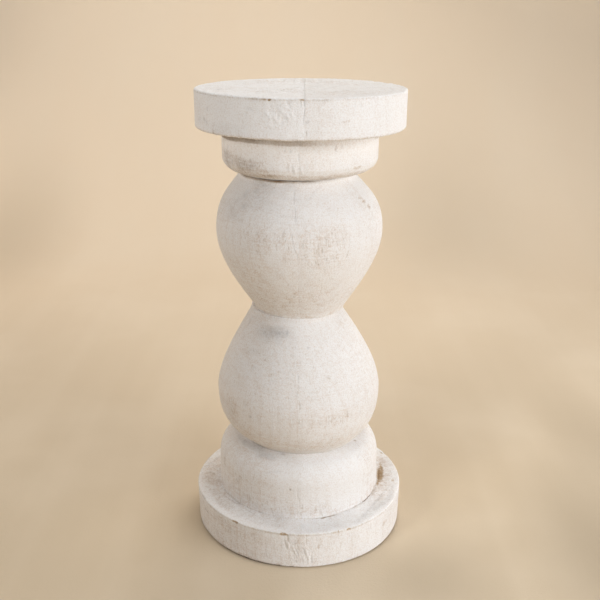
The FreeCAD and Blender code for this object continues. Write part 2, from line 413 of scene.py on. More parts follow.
# Each row is azimuth, radius, height, length, width, tilt, wear.
MARKS = {
    "top_plate": table(Mark, """
    on the top face:
    123.1 11.2 300 36.3 5 146 d.15 b.1 g.08
    86.5 19.5 300 47.6 5 111 d.15 b.1 g.07
    49.9 33 300 38.9 5 88 d.15 b.1 g.06
    89.2 43.8 300 21.5 6 135 d.15 b.1 g.08
    65.7 46.5 300 31.1 4 114 d.15 b.1 g.06
    85.2 55.1 300 24.3 3 83 d.15 b.1 g.08
    64.7 57.6 300 20.8 3 85 d.15 b.1 g.06
    42.2 53.3 300 39.5 3.5 91 d.15 b.1 g.06
    156.6 36.9 300 27.9 6 18 d.15 b.1 g.06
    -74.2 53.2 300 18.2 4 57 d.15 b.1 g.06
    -99.4 56.7 300 18.1 4 127 d.15 b.1 g.06
    -131.9 39 300 21 5 87 d.15 b.1 g.04
    -125.5 21.8 300 5 2 10 d.24 b.5 g.08
    -57.5 37.2 300 5 1.6 0 d.08 b.44
    -73.2 51.2 300 7 4 60 d.15 r.1 g.13
    -95.3 47.3 300 8 4 80 b.1 t.4 g.04
    -34.6 7.6 300 8 2 30 d.24 g.16
    20 36 300 3 12 10 b.14
    -72 24.2 300 10 8 0 d-.3 r.45
    -.9 6.1 300 12 8 0 d-.3 r.45
    -65 31 300 3 20 0 b.12 t.5
    -30 30 300 36 44 0 r.35 t.3
    40 42 300 30 60 0 r.18 t.5
    -80 50 300 24 34 0 r.2 t.4
    150 40 300 30 70 0 r.3 t.4
    -150 40 300 30 60 0 r.3 t.4
    along the top edge:
    -60 64.8 299.6 2 11 0 d.4 r.5 t.3
    -69 65.2 299 2.4 6 0 d.36 r.4 b.16
    -50 64.8 299.5 1.6 5 0 d.24 t.5
    -17.6 65 299.2 1.1 1.4 0 d.12 b.3 s.06
    -15 65.1 299 1.3 1.2 0 d.2 b.55 s.45
    1 65 299.2 1.1 2.4 0 d.12 b.5 s.06
    70.5 64 299.8 1.6 5 0 d.24 b.28 g.07
    round the side:
    -10 65.4 292 14 22 0 r.45
    -15.4 65.4 290.5 5 1.15 -35 d-.31
    -12 65.4 288.8 4.4 1.15 -35 d-.27
    -8.5 65.4 293 5 1.15 -30 d-.24
    -9.5 65.4 295 4 1.15 -20 d.24 g.07
    -6 65.4 291 4.6 1.15 -30 d-.24
    -6.8 65.4 289 3 1.15 -30 d.24 g.06
    -3.6 65.4 290.4 4 1.15 -25 d-.27
    -5.6 65.4 297 5 1.15 -20 d.2 g.08
    -25.3 65.4 293.4 1.8 5 20 g.1
    -27.5 65.4 290.5 5 1.4 8 g.07
    1.9 65.4 297.6 4 1.1 0 d.2 g.21
    .2 65.4 297 4 .9 0 d.16 g.11
    1.7 65.4 290.4 9 .9 4 d.13 g.11
    3.4 65.4 287.4 3 1.5 60 d.12 b.08 g.17
    3 65.4 281.1 3 .9 0 d.2 b.24 g.21
    -59.9 65.4 284.7 2.4 3 30 b.28 g.17
    -57.5 65.4 283.5 2 6 25 g.15
    -55.8 65.4 290.9 3 1.8 0 g.17
    -66 65.4 284 4 6 0 g.11
    -50.7 65.4 278.2 2.4 2.4 0 b.24 g.14
    -22 65.4 298 2 12 0 g.07
    24 65.4 297.5 5 .9 0 d-.16
    27.5 65.4 296.6 6 .9 0 d-.18
    30.3 65.4 296 4 1.6 0 d.11 g.07
    33.3 65.4 296.6 7 .9 3 d-.18
    37.1 65.4 296 6 .9 -3 d-.16
    22 65.4 287.5 2.4 7 0 t.6 g.04
    -42 65.4 281 8 36 0 t.2 g.07
    -66 65.4 290 18 16 0 t.16 g.03
    """),
    "collar": table(Mark, """
    -9.9 49.1 269 2 1.4 0 g.14
    -5.9 49.1 268.5 2 1.6 0 b.08 g.18
    -1 49.1 265.5 5 1.1 0 d.16 g.11
    -.5 49.1 258.6 3 1.6 10 d.1 g.14
    -5 49.1 258 6 1.4 -12 d.14 g.1
    -3.4 49.1 257.6 5 1.2 -12 d-.17
    -8.5 49.1 259.5 5 1 0 d.1 g.07
    1.5 49.1 257 4 1.2 -16 d-.17
    25.1 49.1 269.8 4.4 1.4 0 b.11 s.2
    29.7 49.1 270.6 4 2 0 b.11 s.15
    9 49.1 262 9 1.1 0 b.06 t.8
    41.5 49 257 2.6 3 10 d.12 b.45
    45.5 49 257 1.8 5 -10 d.08 r.3 b.38
    44 48.6 255.4 1.4 4 0 b.22
    -55.8 49.1 258.7 3.4 1.3 0 d.16 b.19 g.24
    -61.5 49.1 267 2.4 1.8 0 g.17
    -36 49.1 262.1 2 1.4 0 b.22 g.08
    -50 49.1 259.5 9 14 0 b.12 t.9 g.07
    -64 49.1 259 15 14 0 t.5 g.24
    -43 49.1 258.3 9 14 0 b.09 t.8 g.2
    -35 49.1 258 7 8 0 t.4 g.14
    -70 49.1 268 14 7 0 g.1
    -46.9 48.6 256 2 5 0 b.26 t.5
    -20 47.2 253.6 3 16 0 b.22 s.12
    8 49.1 262 12 16 0 r.25
    20 43.5 251 3 9 0 b.3 s.3
    """),
    # On the upper bulb, the two broad thin marks low down, at heights 182 and 190, darken and warm
    # its lower part: painted shade.
    "upper_bulb": table(Mark, """
    -30 40 243.6 9 32 0 g.1
    -40 45.6 236.6 13 28 0 g.08
    -50 50.2 229.4 15 26 0 g.04
    -22 47 234.6 9 26 0 g.05
    -34.5 37.8 246.2 5.52 18 0 g.18
    -30 39.5 244.4 3 9 0 g.06
    -47 44.1 238.7 7.2 6 0 b.04 g.14
    -37 41.5 241.8 4.08 6 0 g.14
    -29.9 41.5 241.8 2.4 3 0 g.06
    -36 43.8 239 3 14 0 g.08
    -53 46.9 235.1 5 3 0 g.08
    -42.4 48.5 232.6 5.52 5.28 0 b.03 g.12
    -36 48.5 232.6 2 5 0 g.04
    -46 51.6 226.5 6 16.8 0 g.06
    -56 50.5 228.5 9.6 10.8 0 g.05
    -88.6 48.4 232.7 1.6 5 10 g.12
    -60 50 230 24 24 20 t.17 g.04
    -43.4 53 220.3 2.6 .9 0 d.07 b.17
    -28.3 53.2 219.5 2 1.6 0 d.07 b.15 g.1
    -25.7 53.4 215.5 2 1.2 0 d.07 b.12 g.1
    -22.3 53.5 216.6 3.4 .9 0 d.08 b.17 g.1
    -10.5 52.9 221 4 1 4 d.1 b.2 g.1
    -6 53 220 3 .9 0 d.1 b.2
    -10 53.2 206 4.4 .9 0 d.08 b.15 g.05
    -20 51.4 200 1.4 1.2 0 b.2
    -15.7 50 196.4 1.4 1.2 0 b.2
    -25 47 190 1.4 1.2 0 b.15
    -24 53.4 216 16 40 0 r.12 t.44
    -8 53.4 214 22 10 0 r.12 t.39
    -28 53.6 208 3 30 0 g.03
    -22 50.5 228.5 2 22 0 g.03
    -8 43 239 1.8 12 0 g.06
    -9 38.4 246 6 14 0 g.16
    -8 49.5 230.6 1.8 14 0 g.06
    -14 51 227 1.8 18 0 g.04
    55.9 45.4 237.1 1.8 4.8 10 d.02 b.3 t.6
    58.3 47.1 234.7 3.2 5.6 -10 d.03 b.42 t1
    61.7 49.3 231.3 3.6 4.4 -20 d.03 b.45 t1
    1.7 53.6 213.6 4.4 1.2 4 d.11 b.28
    .6 53.6 213.6 5 .8 0 d.08 b.2
    4 53.6 209 12 4 -8 b.13 t.6
    3.2 53.2 220.5 5 1 12 d.07 b.2
    6.6 53.4 218.5 6 .9 0 d.08 b.17
    9.3 53.7 212.2 13 .9 0 d.11 b.2
    11.8 53.7 211.5 9 1.1 0 d.11 b.25
    13.4 53.7 215 7 .8 2 d.08 b.15
    15.1 53.7 211 8 .9 0 d.1 b.2
    17.8 53.1 219.5 7 .8 0 d.08 b.17
    14 52.9 222 3 2 40 b.15
    20 53.4 216.5 4 .9 0 b.15
    11.6 52.5 202.5 3.6 1.6 -40 d.1 b.25 g.05
    13 52.2 201 2 1.6 0 d.07 b.23
    18.1 53 204.7 2.4 1.5 0 b.2 g.05
    25.9 52.9 204.7 1.6 2.6 0 b.23
    29 53.7 212.6 8 .9 3 d.1 b.23
    30.6 53.7 212.6 7 .9 3 d.08 b.2
    34.6 53.6 215 14 .9 0 d.11 b.2
    33.5 53.3 206.2 5.6 1.2 18 d.14 b.35
    31.6 53 203 2.4 1.2 20 b.15
    25 53.4 217 10 .8 2 d.07 b.12
    15 53.7 213 30 40 0 r.16 b.04 t.55
    26 53.4 220 14 20 0 t.28
    43 53 220 16 12 0 b.03 t.28
    15.5 39 244.6 8 1.4 56 g.07
    9.6 42 241.2 7 1.4 44 g.06
    23.4 49.7 230.4 6 1 -35 b.08
    -4.4 41.5 178 2.4 1.6 0 b.25 g.1
    -4.2 43.5 181.3 3 4 0 b.07 t.8
    -8 38 173 10 5 0 b.07 t.8
    -14 36 170 10 6 20 b.06 t.6
    -40 47 190 26 44 0 t.33
    10 42 182 20 44 0 t.33
    -4.6 43 240.4 9 1 -4 d.08 g.12
    -3.3 47.6 233.9 5 1 -8 d.08 g.12
    -3 50.1 229.5 4 1.6 -10 d.08 b.05 g.1
    -4.4 53.3 218 7 1 -10 d.08 g.1
    -3.2 53.6 213.6 5 1 12 d.08 b.05 g.1
    -2 53.5 208.6 6 .9 -12 d.07 b.05 g.08
    -3 53.5 214 10 1.4 -14 d-.1
    """),
    # On the lower bulb, the broad thin marks low down, at heights 78 to 100 and azimuths -60, -52,
    # -45, 0 and 30, darken and warm its underside and lower left: painted shade, with a little
    # grime.
    "lower_bulb": table(Mark, """
    -28 35.2 148.2 13 28 0 g.16
    -12 49 123.4 1.4 22 4 d-.12
    -17 55.3 96 14 1.6 4 d-.1
    -67 34.2 150 10 1.5 0 d.14 g.12
    -66.8 30.2 156.9 3 2.4 0 g.12
    -19 33.8 150.8 9 13 0 g.21
    -12.8 33.9 150.6 4 2.6 0 b.05 g.25
    -30 34.5 149.6 9 16 0 g.13
    -38.4 35.3 148.4 2.6 5 20 g.15
    -45 34 150 10.8 10.8 0 t.17 g.07
    -43 42 136 4.8 14.4 0 t.4 g.06
    -34 44.5 131.5 3 10 -10 b.06 t.5
    -38 46 127 4.8 4.8 0 g.1
    -60 53.5 94 22 26 0 t.4 g.06
    -52.2 55.5 99.1 5 1 -45 g.1
    -54 53 112 2 14 -25 g.05
    -34.4 55.4 97.3 2 1.8 0 d.14 b.15 g.3
    -6.1 41 138.8 2 3.6 0 b.23 g.06
    -21.7 47.7 126.5 2.4 5 0 b.12 t.5
    -16 46.5 129 2 9 0 b.07 t.4
    -28 43.5 133.6 2 10 0 b.05 t.7
    8.5 38.8 142.6 1.6 1.6 0 d.1 g.23
    11.6 45 131.5 1.8 1.2 0 d.07 g.15
    22.5 48.5 124.8 1.8 2.8 30 d.1 b.25 g.05
    27.5 49.9 121.8 1.6 1.8 0 d.1 b.23
    56.6 54.6 108.5 3.4 1.4 0 d.1 b.28
    21.9 55.4 97.7 2.2 2.4 0 d.08 b.3
    24.4 55.4 98.6 1.6 3.4 -20 b.17
    14.2 55.4 96.8 2 1.6 0 d.08 b.25 g.05
    30.3 55.4 97 5 1.1 0 d.1 b.25
    34.1 55.5 100.2 4.4 1.3 0 d.08 b.23
    37.6 55.4 99 4 1.1 0 d.08 b.28
    32 55.4 100.5 8 10 0 b.07 t.8
    7 55.4 98 6 1 0 d.08 b.17
    8.6 55.3 95 4 1.1 0 d.08 b.2
    5 55.4 101 5 .9 0 d.05 b.1
    11 55.2 94 5 .9 0 d.07 b.12
    -18 55.2 94 9 .9 0 d.07 b.09
    -10 55.2 96 9 .9 0 d.07 b.1
    -14 55.4 103 9 .8 0 d.07 b.07
    -22.5 55.4 97 12 2.6 6 d-.08
    22 55.4 99 14 34 4 r.12 t.5
    -2 55.4 97 16 22 0 r.1 t.44
    -52 54 100 16 16 0 t.33
    -45 50 82 18 44 0 t.5
    0 50 78 16 40 0 t.44
    30 50 79 14 30 0 t.33
    .1 42.5 136.1 6 2.6 4 d.07 b.1 t.5
    -.5 50.5 120.4 1.8 2.6 0 d.07 b.24
    -1.2 51.9 116.9 4.4 1.2 6 d.07 b.12 g.07
    1 52.5 114.6 3.4 1 0 b.14
    .6 54.2 109.8 6.4 1.3 -6 d.09 b.29 g.03
    -1 54.2 110.4 6 .9 0 d.06 b.12
    2.2 55.5 99.1 5 1.3 0 d.07 b.21
    1 55.4 96.5 4 1 0 b.14
    0 51.6 81 7 1.2 0 d.06 b.12
    -1 48 125.5 8 1 0 d.07 g.07
    """),
    # On the drum's shoulder, the broad grey marks on the left at azimuths -66, -46, -33 and -25,
    # where the lower bulb sits, are painted shadow of the bulb, with some real grime and bare
    # wood.
    "drum": table(Mark, """
    on the shoulder:
    -46 42.6 66.2 6 38 0 b.08 g.2
    -66 43.4 66 4 22 0 g.16
    -33 46.6 64.9 6 9 0 g.15
    -25 45.4 65.4 4.6 16 0 g.13
    -14.7 41.5 66.4 1.6 3 0 b.15 g.2
    -12.8 42 66.4 2 1.2 0 b.1 g.15
    -9 48.5 63.6 4 1.4 0 g.07
    -18 53 59.5 1.6 12 -14 b.04 g.06
    round the side:
    -5.6 55.7 49.1 1.7 1.2 0 d.16 b.4 g.12 s.2
    on the shoulder:
    61.6 44 66 2 1.8 0 d.17 b.45 g.1
    51.1 51.6 61.1 1.1 8 -25 d.08 g.1
    round the side:
    -.6 55.7 45 14 .9 0 d.11 b.2
    .8 55.7 53 1.2 3 0 b.12
    .6 55.7 39.5 8 .9 -8 d.1 b.15
    2.6 55.7 36.3 4 1.4 0 d.1 b.38 g.05
    8 55.7 41.8 3.4 3 0 b.2
    8 55.7 38 6 1 0 b.15
    13.2 55.7 40.4 6 1 -38 g.1
    17 55.7 37.4 1 6 -6 g.06
    26 55.7 50 1.4 3 0 b.1
    -8.4 55.7 45 16 .8 0 d.07 b.06
    -13 55.7 42 14 .8 0 d.07 b.05
    -17 55.7 42 2 6 0 b.1
    -30 55.7 36 16 .9 0 d.08 g.06
    -36.5 55.7 34 12 .9 0 d.08 g.06
    -47 55.7 46.5 2.6 9 -40 b.06 g.1
    -44 55.7 44 2 6 -40 b.11
    -62 55.7 47 12 2 -20 b.1 g.06
    -56 55.7 44 3 9 -30 b.09 t.5
    -68 55.7 52 14.4 4.8 -10 b.07 t.5 g.11
    -45 55.7 33 12 24 20 t.6 g.04
    -33 55.7 31 9.6 18 10 t.5 g.05
    -52 55.7 42 20 26 0 r.3 t.7
    -20 55.7 38 14 30 0 r.15 t.7
    5 55.7 34 8 40 0 t.9
    -24 55.7 52 10 14 0 t.3
    on the shoulder:
    60 53 58 8 18 0 t.4
    """),
    "base_plate": table(Mark, """
    on the ledge:
    91 59.6 27 6.4 30 6 r.4 b.55 t.6
    90 59 27 4.8 24 6 d.4 r.4 b.8 s.18
    90 58.2 27 1.3 15 7 d.5 b.6 s.6
    78 57.6 27 2 8 0 d.4 b.7 s.35
    101 62 27 1.6 14 8 d.2 r.3 b.4
    66 57 27 1.6 10 0 d.2 r.2 b.3
    83.6 67.9 27 1.9 4 0 d.2 b.6
    79.6 63.7 27 1.6 2.2 0 d.1 b.35
    92.7 66.9 27 1.8 2 0 d.2 b.2
    116 69.8 27 2 7 0 d.2 b.6 g.11
    104 67 27 8 26 0 t.15 g.03
    20 56.7 27 .9 12 0 d.4 b.6 s.6
    12 56.6 27 .8 6 0 d.2 b.3 g.1
    54 56.7 27 .9 6 0 d.3 b.6 s.4
    59 56.6 27 .8 8 0 d.3 b.45 s.2
    -45 56.6 27 1.4 40 0 b.2 g.1
    -89.3 61.2 27 2.4 3 0 b.45 g.08
    -91 63.5 27 6 4 20 b.16 s.1
    -80.8 62.5 27 6 2 0 b.14 s.1
    -98.8 65.8 27 7 8 0 t.4 s.06
    -108 71.6 27 1.6 26 0 b.11 g.19
    -92 65 27 12 40 0 r.5 t.7
    -60 62.5 27 8 44 0 r.35 t.7 s.02
    -40 61 27 6 20 0 r.2 g.08
    2.6 63.5 27 8 4 0 g.14
    18 65 27 10 40 0 g.05
    46 66 27 9 34 0 t.2 g.09
    72 69 27 5 26 0 t.5 g.16
    50 68 27 6 66 0 g.11
    60 63.6 27 1.8 60 0 g.12
    40 61 27 1.6 30 0 g.04
    round the side:
    -66 72 26.2 1.8 6 0 d.36 r.4 g.27
    -60.5 72.1 18.4 1.8 3 20 d.2 b.35 g.3
    -63.5 72.1 18.6 1.6 3 20 d.2 b.21 g.27
    -36.6 72.1 26.5 2 3.6 0 d.36 r.4 b.56 g.15
    -34.6 72.1 26.3 1.6 2.4 0 d.24 b.49
    -7.7 72.1 26.4 1.8 4 0 d.19 r.32 b.5 s.2
    26.8 72.2 26 1.8 3 0 d.13 b.34
    -38.9 72.1 18.7 3 8 10 b.04 g.18
    -46 72.1 21 8 16 0 t.7 g.05
    -5.3 72.2 23.4 6 1.4 -6 d.22 b.34 g.14
    -6.4 72.1 18 8 1.5 -14 d.22 b.22 g.14
    -5 72.1 18.4 5 1.2 -10 d-.26
    -9 72.1 19 6 1 0 d.13 b.17
    -1.8 72.1 14 6 1.3 -24 d-.29
    -.5 72 12.4 6 1.3 -24 d.22 g.17
    -1 71.9 5.6 2.4 2.6 0 d.22 g.22
    3 72.1 13.6 6 1.4 -14 d.22 b.06 g.12
    4.4 72.1 12.8 5 1.2 -14 d-.29
    7 72 7.2 6.6 1.3 -4 d.26 g.19
    5.6 72 6.6 6 1.2 -4 d-.29
    -.5 72.1 21 6 1.2 30 b.28
    -3 72.1 16.5 2 6 0 b.14
    4.1 72.2 22 9 .9 0 d.13 b.22
    1 72.2 22 9 8 0 b.08 t.7
    -17.3 72.1 14 20 1 0 d.1 b.19
    -13 72.1 14 14 .8 0 d.08 b.11
    -20.5 72.1 19.6 4 6 0 b.16
    -15.5 72.1 20.4 5 4 0 b.16
    -27 72.1 20 7 .9 0 d.09 b.17
    -23.8 72.1 19.6 6 .9 0 d.09 b.17
    -21 72.1 16.6 1.4 22 0 b.09
    22.4 72.1 15 5 1.2 0 d.13 b.31
    21.4 72.1 10.4 4.4 1.3 0 d.13 b.22
    20 72.1 12.4 5 .9 0 d.1 b.19
    25 72.1 15.4 4 1 0 d.1 b.22
    29 72.1 15 7 .9 0 d.09 b.17
    26.6 72.1 11 6 .9 0 d.08 b.14
    10.6 72.1 17 3.6 1.6 0 b.34
    8 72.1 16.6 1.4 8 0 b.12
    17.8 72.2 23 4 6 10 b.19
    21 72.2 24 8 1.2 0 b.28
    12 72.1 20 6 6 0 b.08 t.6
    40.9 72.1 21.5 5 1.1 0 d.11 b.24
    53 72.1 16 3 10 0 b.21 t.6
    58.5 72.1 18 2.4 5 0 b.15
    along the foot:
    -10.4 71.9 2 2.4 5 0 d.26 r.32 b.22
    -3.4 71.9 1.6 2 3.4 0 d.19 r.32 b.17
    round the side:
    1 72.1 13 20 26 0 r.36 t.3
    -40 72.1 20 9 30 0 r.15 t.6
    48 72.1 18 12 26 0 t.2
    """),
}

# Each row is radius, height, width, the azimuths it runs from and to, wear.
RINGS = {
    "top_plate": table(Ring, """
    65.3 299 .6 -24 14 b.38 s.03
    65.3 299 .5 -92 -20 b.32 s.04
    65.3 299.2 .5 14 60 b.25
    65.2 299 .8 all b.09 t.4
    64.8 299.4 1.1 all d-.45
    48 300 3 16 66 d.1 b.08
    39 300 2.4 -12 40 d.1 b.1
    56 300 2.6 40 84 d.1 b.08
    24 300 2.4 -40 12 d.12 b.16
    53 300 2.6 -86 -50 d.1 b.08
    65 277.2 1 all r.3 b.35 t.8
    """),
    # The collar's first two rings, brown on the bevel underneath, are partly bare, stained wood
    # and partly painted shade.
    "collar": table(Ring, """
    39.5 250 2.2 -105 -44 b.2 s.02
    39.5 250 2.2 -36 30 b.36 s.05
    37.6 249.6 1.4 all d-.3 r.2 s.1
    37.2 249.3 .8 -80 6 b.4 s.3
    """),
    "upper_bulb": table(Ring, """
    36.3 248.8 1.3 all d-.95
    36.4 248.5 .8 -66 -14 b.5 s.9
    36.4 248.4 .8 -14 16 b.5 s.4
    36.6 249 1.2 -8 60 d-.35
    29.4 159.4 1.6 all d-.7 t.4
    """),
    "lower_bulb": table(Ring, """
    29.4 158.6 1.6 all d-.7
    29.8 158.2 1.5 12 80 d-.35
    40.4 66.8 1.6 all d-.85
    40.8 67.4 .8 4 100 b.35
    """),
    # The drum's second ring, grey on the left of the shoulder where the lower bulb sits, is
    # painted shadow of the bulb.
    "drum": table(Ring, """
    40.4 66.2 2.6 all d-.95
    41.5 66.4 3.6 -100 -14 g.14 s.04
    55.6 27.4 1.4 all d-.5 t.4
    """),
    # The base's last two rings, along the foot's edge, are partly bare, stained wood and partly
    # painted contact shadow, darkest on the left.
    "base_plate": table(Ring, """
    55.6 27 1.8 all d-.5 t.3
    72.2 26.2 .8 all b.4
    72.2 26 .9 -50 60 b.12
    71.7 .9 1.2 -110 -14 r.3 b.4 s.8
    71.7 .9 1 -6 110 r.2 b.2 s.06
    """),
}

# Each row is what it is measured on, its low and high ends, their softness, the azimuths it
# runs from and to, wear.
BANDS = {
    # The plate's first band, a thin amount below 0, lightens its side left of the front: painted
    # light.
    "top_plate": table(Band, """
    height 279 298.6 1.5 -62 -4 t-.2
    radius 61 70 1.5 -100 -20 r.3
    radius -5 63 1.5 all r.25 t.16
    """),
    # The five bands just under the plate, from 271 to 280, are a brown, half bare ring, darkest on
    # the left: partly real stain and bare wood, partly painted shadow of the plate.  The band from
    # 240 to 254.4 darkens the bevel underneath: partly thin, stained wash, partly painted shade.
    # The three bands low on the left, from 250, darken and warm the shaded left: painted shade.
    "collar": table(Band, """
    height 271.3 280 .15 -105 -56 b.08 t.4 s.6
    height 271.8 280 .2 -48 -30 b.06 t.4 s.5
    height 271.7 280 .25 -18 2 b.12 s.24
    height 271.4 280 .3 -14 14 b.06 t.5 s.08
    height 271.4 280 1.2 22 44 b.03 t.4
    height 240 254.4 .7 all b.14 t1
    height 250 265 .7 -100 -50 b.05 t.5
    height 250 262.4 .7 -52 -30 b.1 t.6 g.03
    height 250 258 .7 -32 -22 b.1 t.6 g.03
    """),
    # The upper bulb's four bands are painted shading: the first darkens its bottom all round, with
    # a little bare wood, the second darkens the shaded left, the third lightens the upper left
    # under the collar as painted light, and the fourth darkens the front a little.
    "upper_bulb": table(Band, """
    height 150 178 10 all b.04 t.5
    height 170 255 8 -125 -26 t.3
    height 234 255 4 -115 -46 t-.4
    height 188 226 8 -22 26 t.2
    """),
    # The lower bulb's four bands are painted shading: the first darkens the foot all round, with a
    # little bare wood, the second lightens the foot at the front and right as painted light, the
    # third darkens the shaded left, and the fourth darkens the front and right a little.
    "lower_bulb": table(Band, """
    height 50 78 8 all b.03 t.5
    height 50 74 5 -22 80 b-.03 t-.45
    height 50 165 8 -125 -26 t.35
    height 74 150 8 -22 50 t.24
    """),
    # The drum's second band darkens its shaded left and the third lightens its lit right: painted
    # shade and painted light.
    "drum": table(Band, """
    height 20 32 3 all t.4
    height 20 70 3 -125 -26 t.45
    height 34 70 3 26 110 t-.14
    """),
    # The base's second band darkens the shaded left of its side, with a touch of stain and bare
    # wood, and the third lightens its lit right: painted shade and painted light.
    "base_plate": table(Band, """
    height -5 24.5 2 all b.02 t.2
    height -5 24.5 2 -125 -24 b.02 t.4 s.04
    height -5 24.5 2 40 110 t-.22
    radius 54 66 2.5 -115 -62 t.8 s.02
    radius 54 68 2.5 -58 -12 t.5 g.13
    radius 54 71 2 8 60 g.09
    radius 54 71 2 55 110 t.15 g.07
    """),
}


# A mark is whole in its core and gone at its edge, both counted as its half width, and a fine
# mark has a larger core.  Its edge is ragged by this much.  A mark stays on the face it is on,
# and MARGIN is how far past it, in millimetres, it is still worked out.
CORE = -0.1
FINE_CORE = 0.6
FINE_MARK = 2
EDGE = 1.25
RAGGED = 0.5
SAME_FACE = 0.1
MARGIN = 4

# A ring comes and goes in patches, and a band's edge waves by this share of its softness.
RING_PATCH = (7.0, 7.0, 3.0)
BAND_WAVE = 1.2
BAND_PATCH = (8.0, 8.0, 2.0)

# A surface is flat where its normal is at least this far upright.
UPRIGHT = 0.9


def mark_mask(points, normals, mark, seed):
    """How strongly a mark acts at each point: a stroke with ragged sides and faded ends.

    u and v are the distances along and across the stroke, over half its length and width.
    The strength falls from 1 in its core to 0 at its edge as sqrt(u^4 + v^2), made ragged by
    noise, grows.
    """
    angle = math.radians(mark.azimuth)
    middle = np.array([mark.radius * math.sin(angle), -mark.radius * math.cos(angle), mark.height])
    near = np.linalg.norm(points - middle, axis=1) < 0.5 * (mark.long + mark.wide) + MARGIN
    mask = np.zeros(len(points))
    if not near.any():
        return mask
    local = points[near] - middle
    normal = normals[near][np.argmin(np.linalg.norm(local, axis=1))]
    around = np.array([math.cos(angle), math.sin(angle), 0.0])
    along = np.cross(normal, around)
    turn = math.radians(mark.tilt)
    stroke = along * math.cos(turn) + around * math.sin(turn)
    across = around * math.cos(turn) - along * math.sin(turn)
    size = min(mark.long, mark.wide)
    ragged = RAGGED * rough_noise(local + middle, 0.8 + 0.25 * size, seed, 3)
    u = local @ stroke / (mark.long / 2)
    v = local @ across / (mark.wide / 2)
    core = FINE_CORE if size < FINE_MARK else CORE
    strength = smoothstep(EDGE, core, np.sqrt(u ** 4 + v ** 2) + ragged)
    mask[near] = strength * (normals[near] @ normal > SAME_FACE)
    return mask


def span_mask(points, from_, to):
    """1 between two azimuths, falling to 0 a little past each."""
    azimuth = np.degrees(np.arctan2(points[:, 0], -points[:, 1]))
    away = np.abs((azimuth - (from_ + to) / 2 + 180) % 360 - 180)
    half = (to - from_) / 2
    return smoothstep(half + FADE_TO, half + FADE_FROM, away)


def ring_mask(points, normals, ring, seed):
    """How strongly a ring acts: exp(-d^2), d being the distance from the line over its width."""
    radius = np.hypot(points[:, 0], points[:, 1])
    away = np.hypot(radius - ring.radius, points[:, 2] - ring.height) / ring.wide
    patchy = 0.7 + 0.6 * rough_noise(points, RING_PATCH, seed, 3)
    return np.clip(np.exp(-away ** 2) * span_mask(points, ring.from_, ring.to) * patchy, 0, 1)


def band_mask(points, normals, band, seed):
    """How strongly a band acts: 1 inside it, 0 a soft edge away, the edge waved by noise."""
    wave = BAND_WAVE * band.soft * rough_noise(points, BAND_PATCH, seed, 3)
    flat = np.abs(normals[:, 2]) > UPRIGHT
    if band.on == "height":
        place = points[:, 2] + wave
        here = ~flat
    else:
        place = np.hypot(points[:, 0], points[:, 1]) + wave
        here = flat
    inside = smoothstep(band.low - band.soft, band.low + band.soft, place)
    inside *= smoothstep(band.high + band.soft, band.high - band.soft, place)
    return inside * here * span_mask(points, band.from_, band.to)


def all_round(section):
    """The section's wear, and the front's wear again behind, turned half way round.

    Marks on the flanks or on the plate's top face, and lines that already run all round,
    aren't repeated.
    """
    marks = MARKS[section.name]
    behind = [mark._replace(azimuth=mark.azimuth + 180) for mark in marks
              if abs(mark.azimuth) < FLANK and mark.height < TOP_FACE]
    lines = []
    for rows in (RINGS[section.name], BANDS[section.name]):
        lines.append(rows + [row._replace(from_=row.from_ + 180, to=row.to + 180) for row in rows
                             if row.to - row.from_ < 360
                             and getattr(row, "height", 0.0) < TOP_FACE])
    return marks + behind, *lines


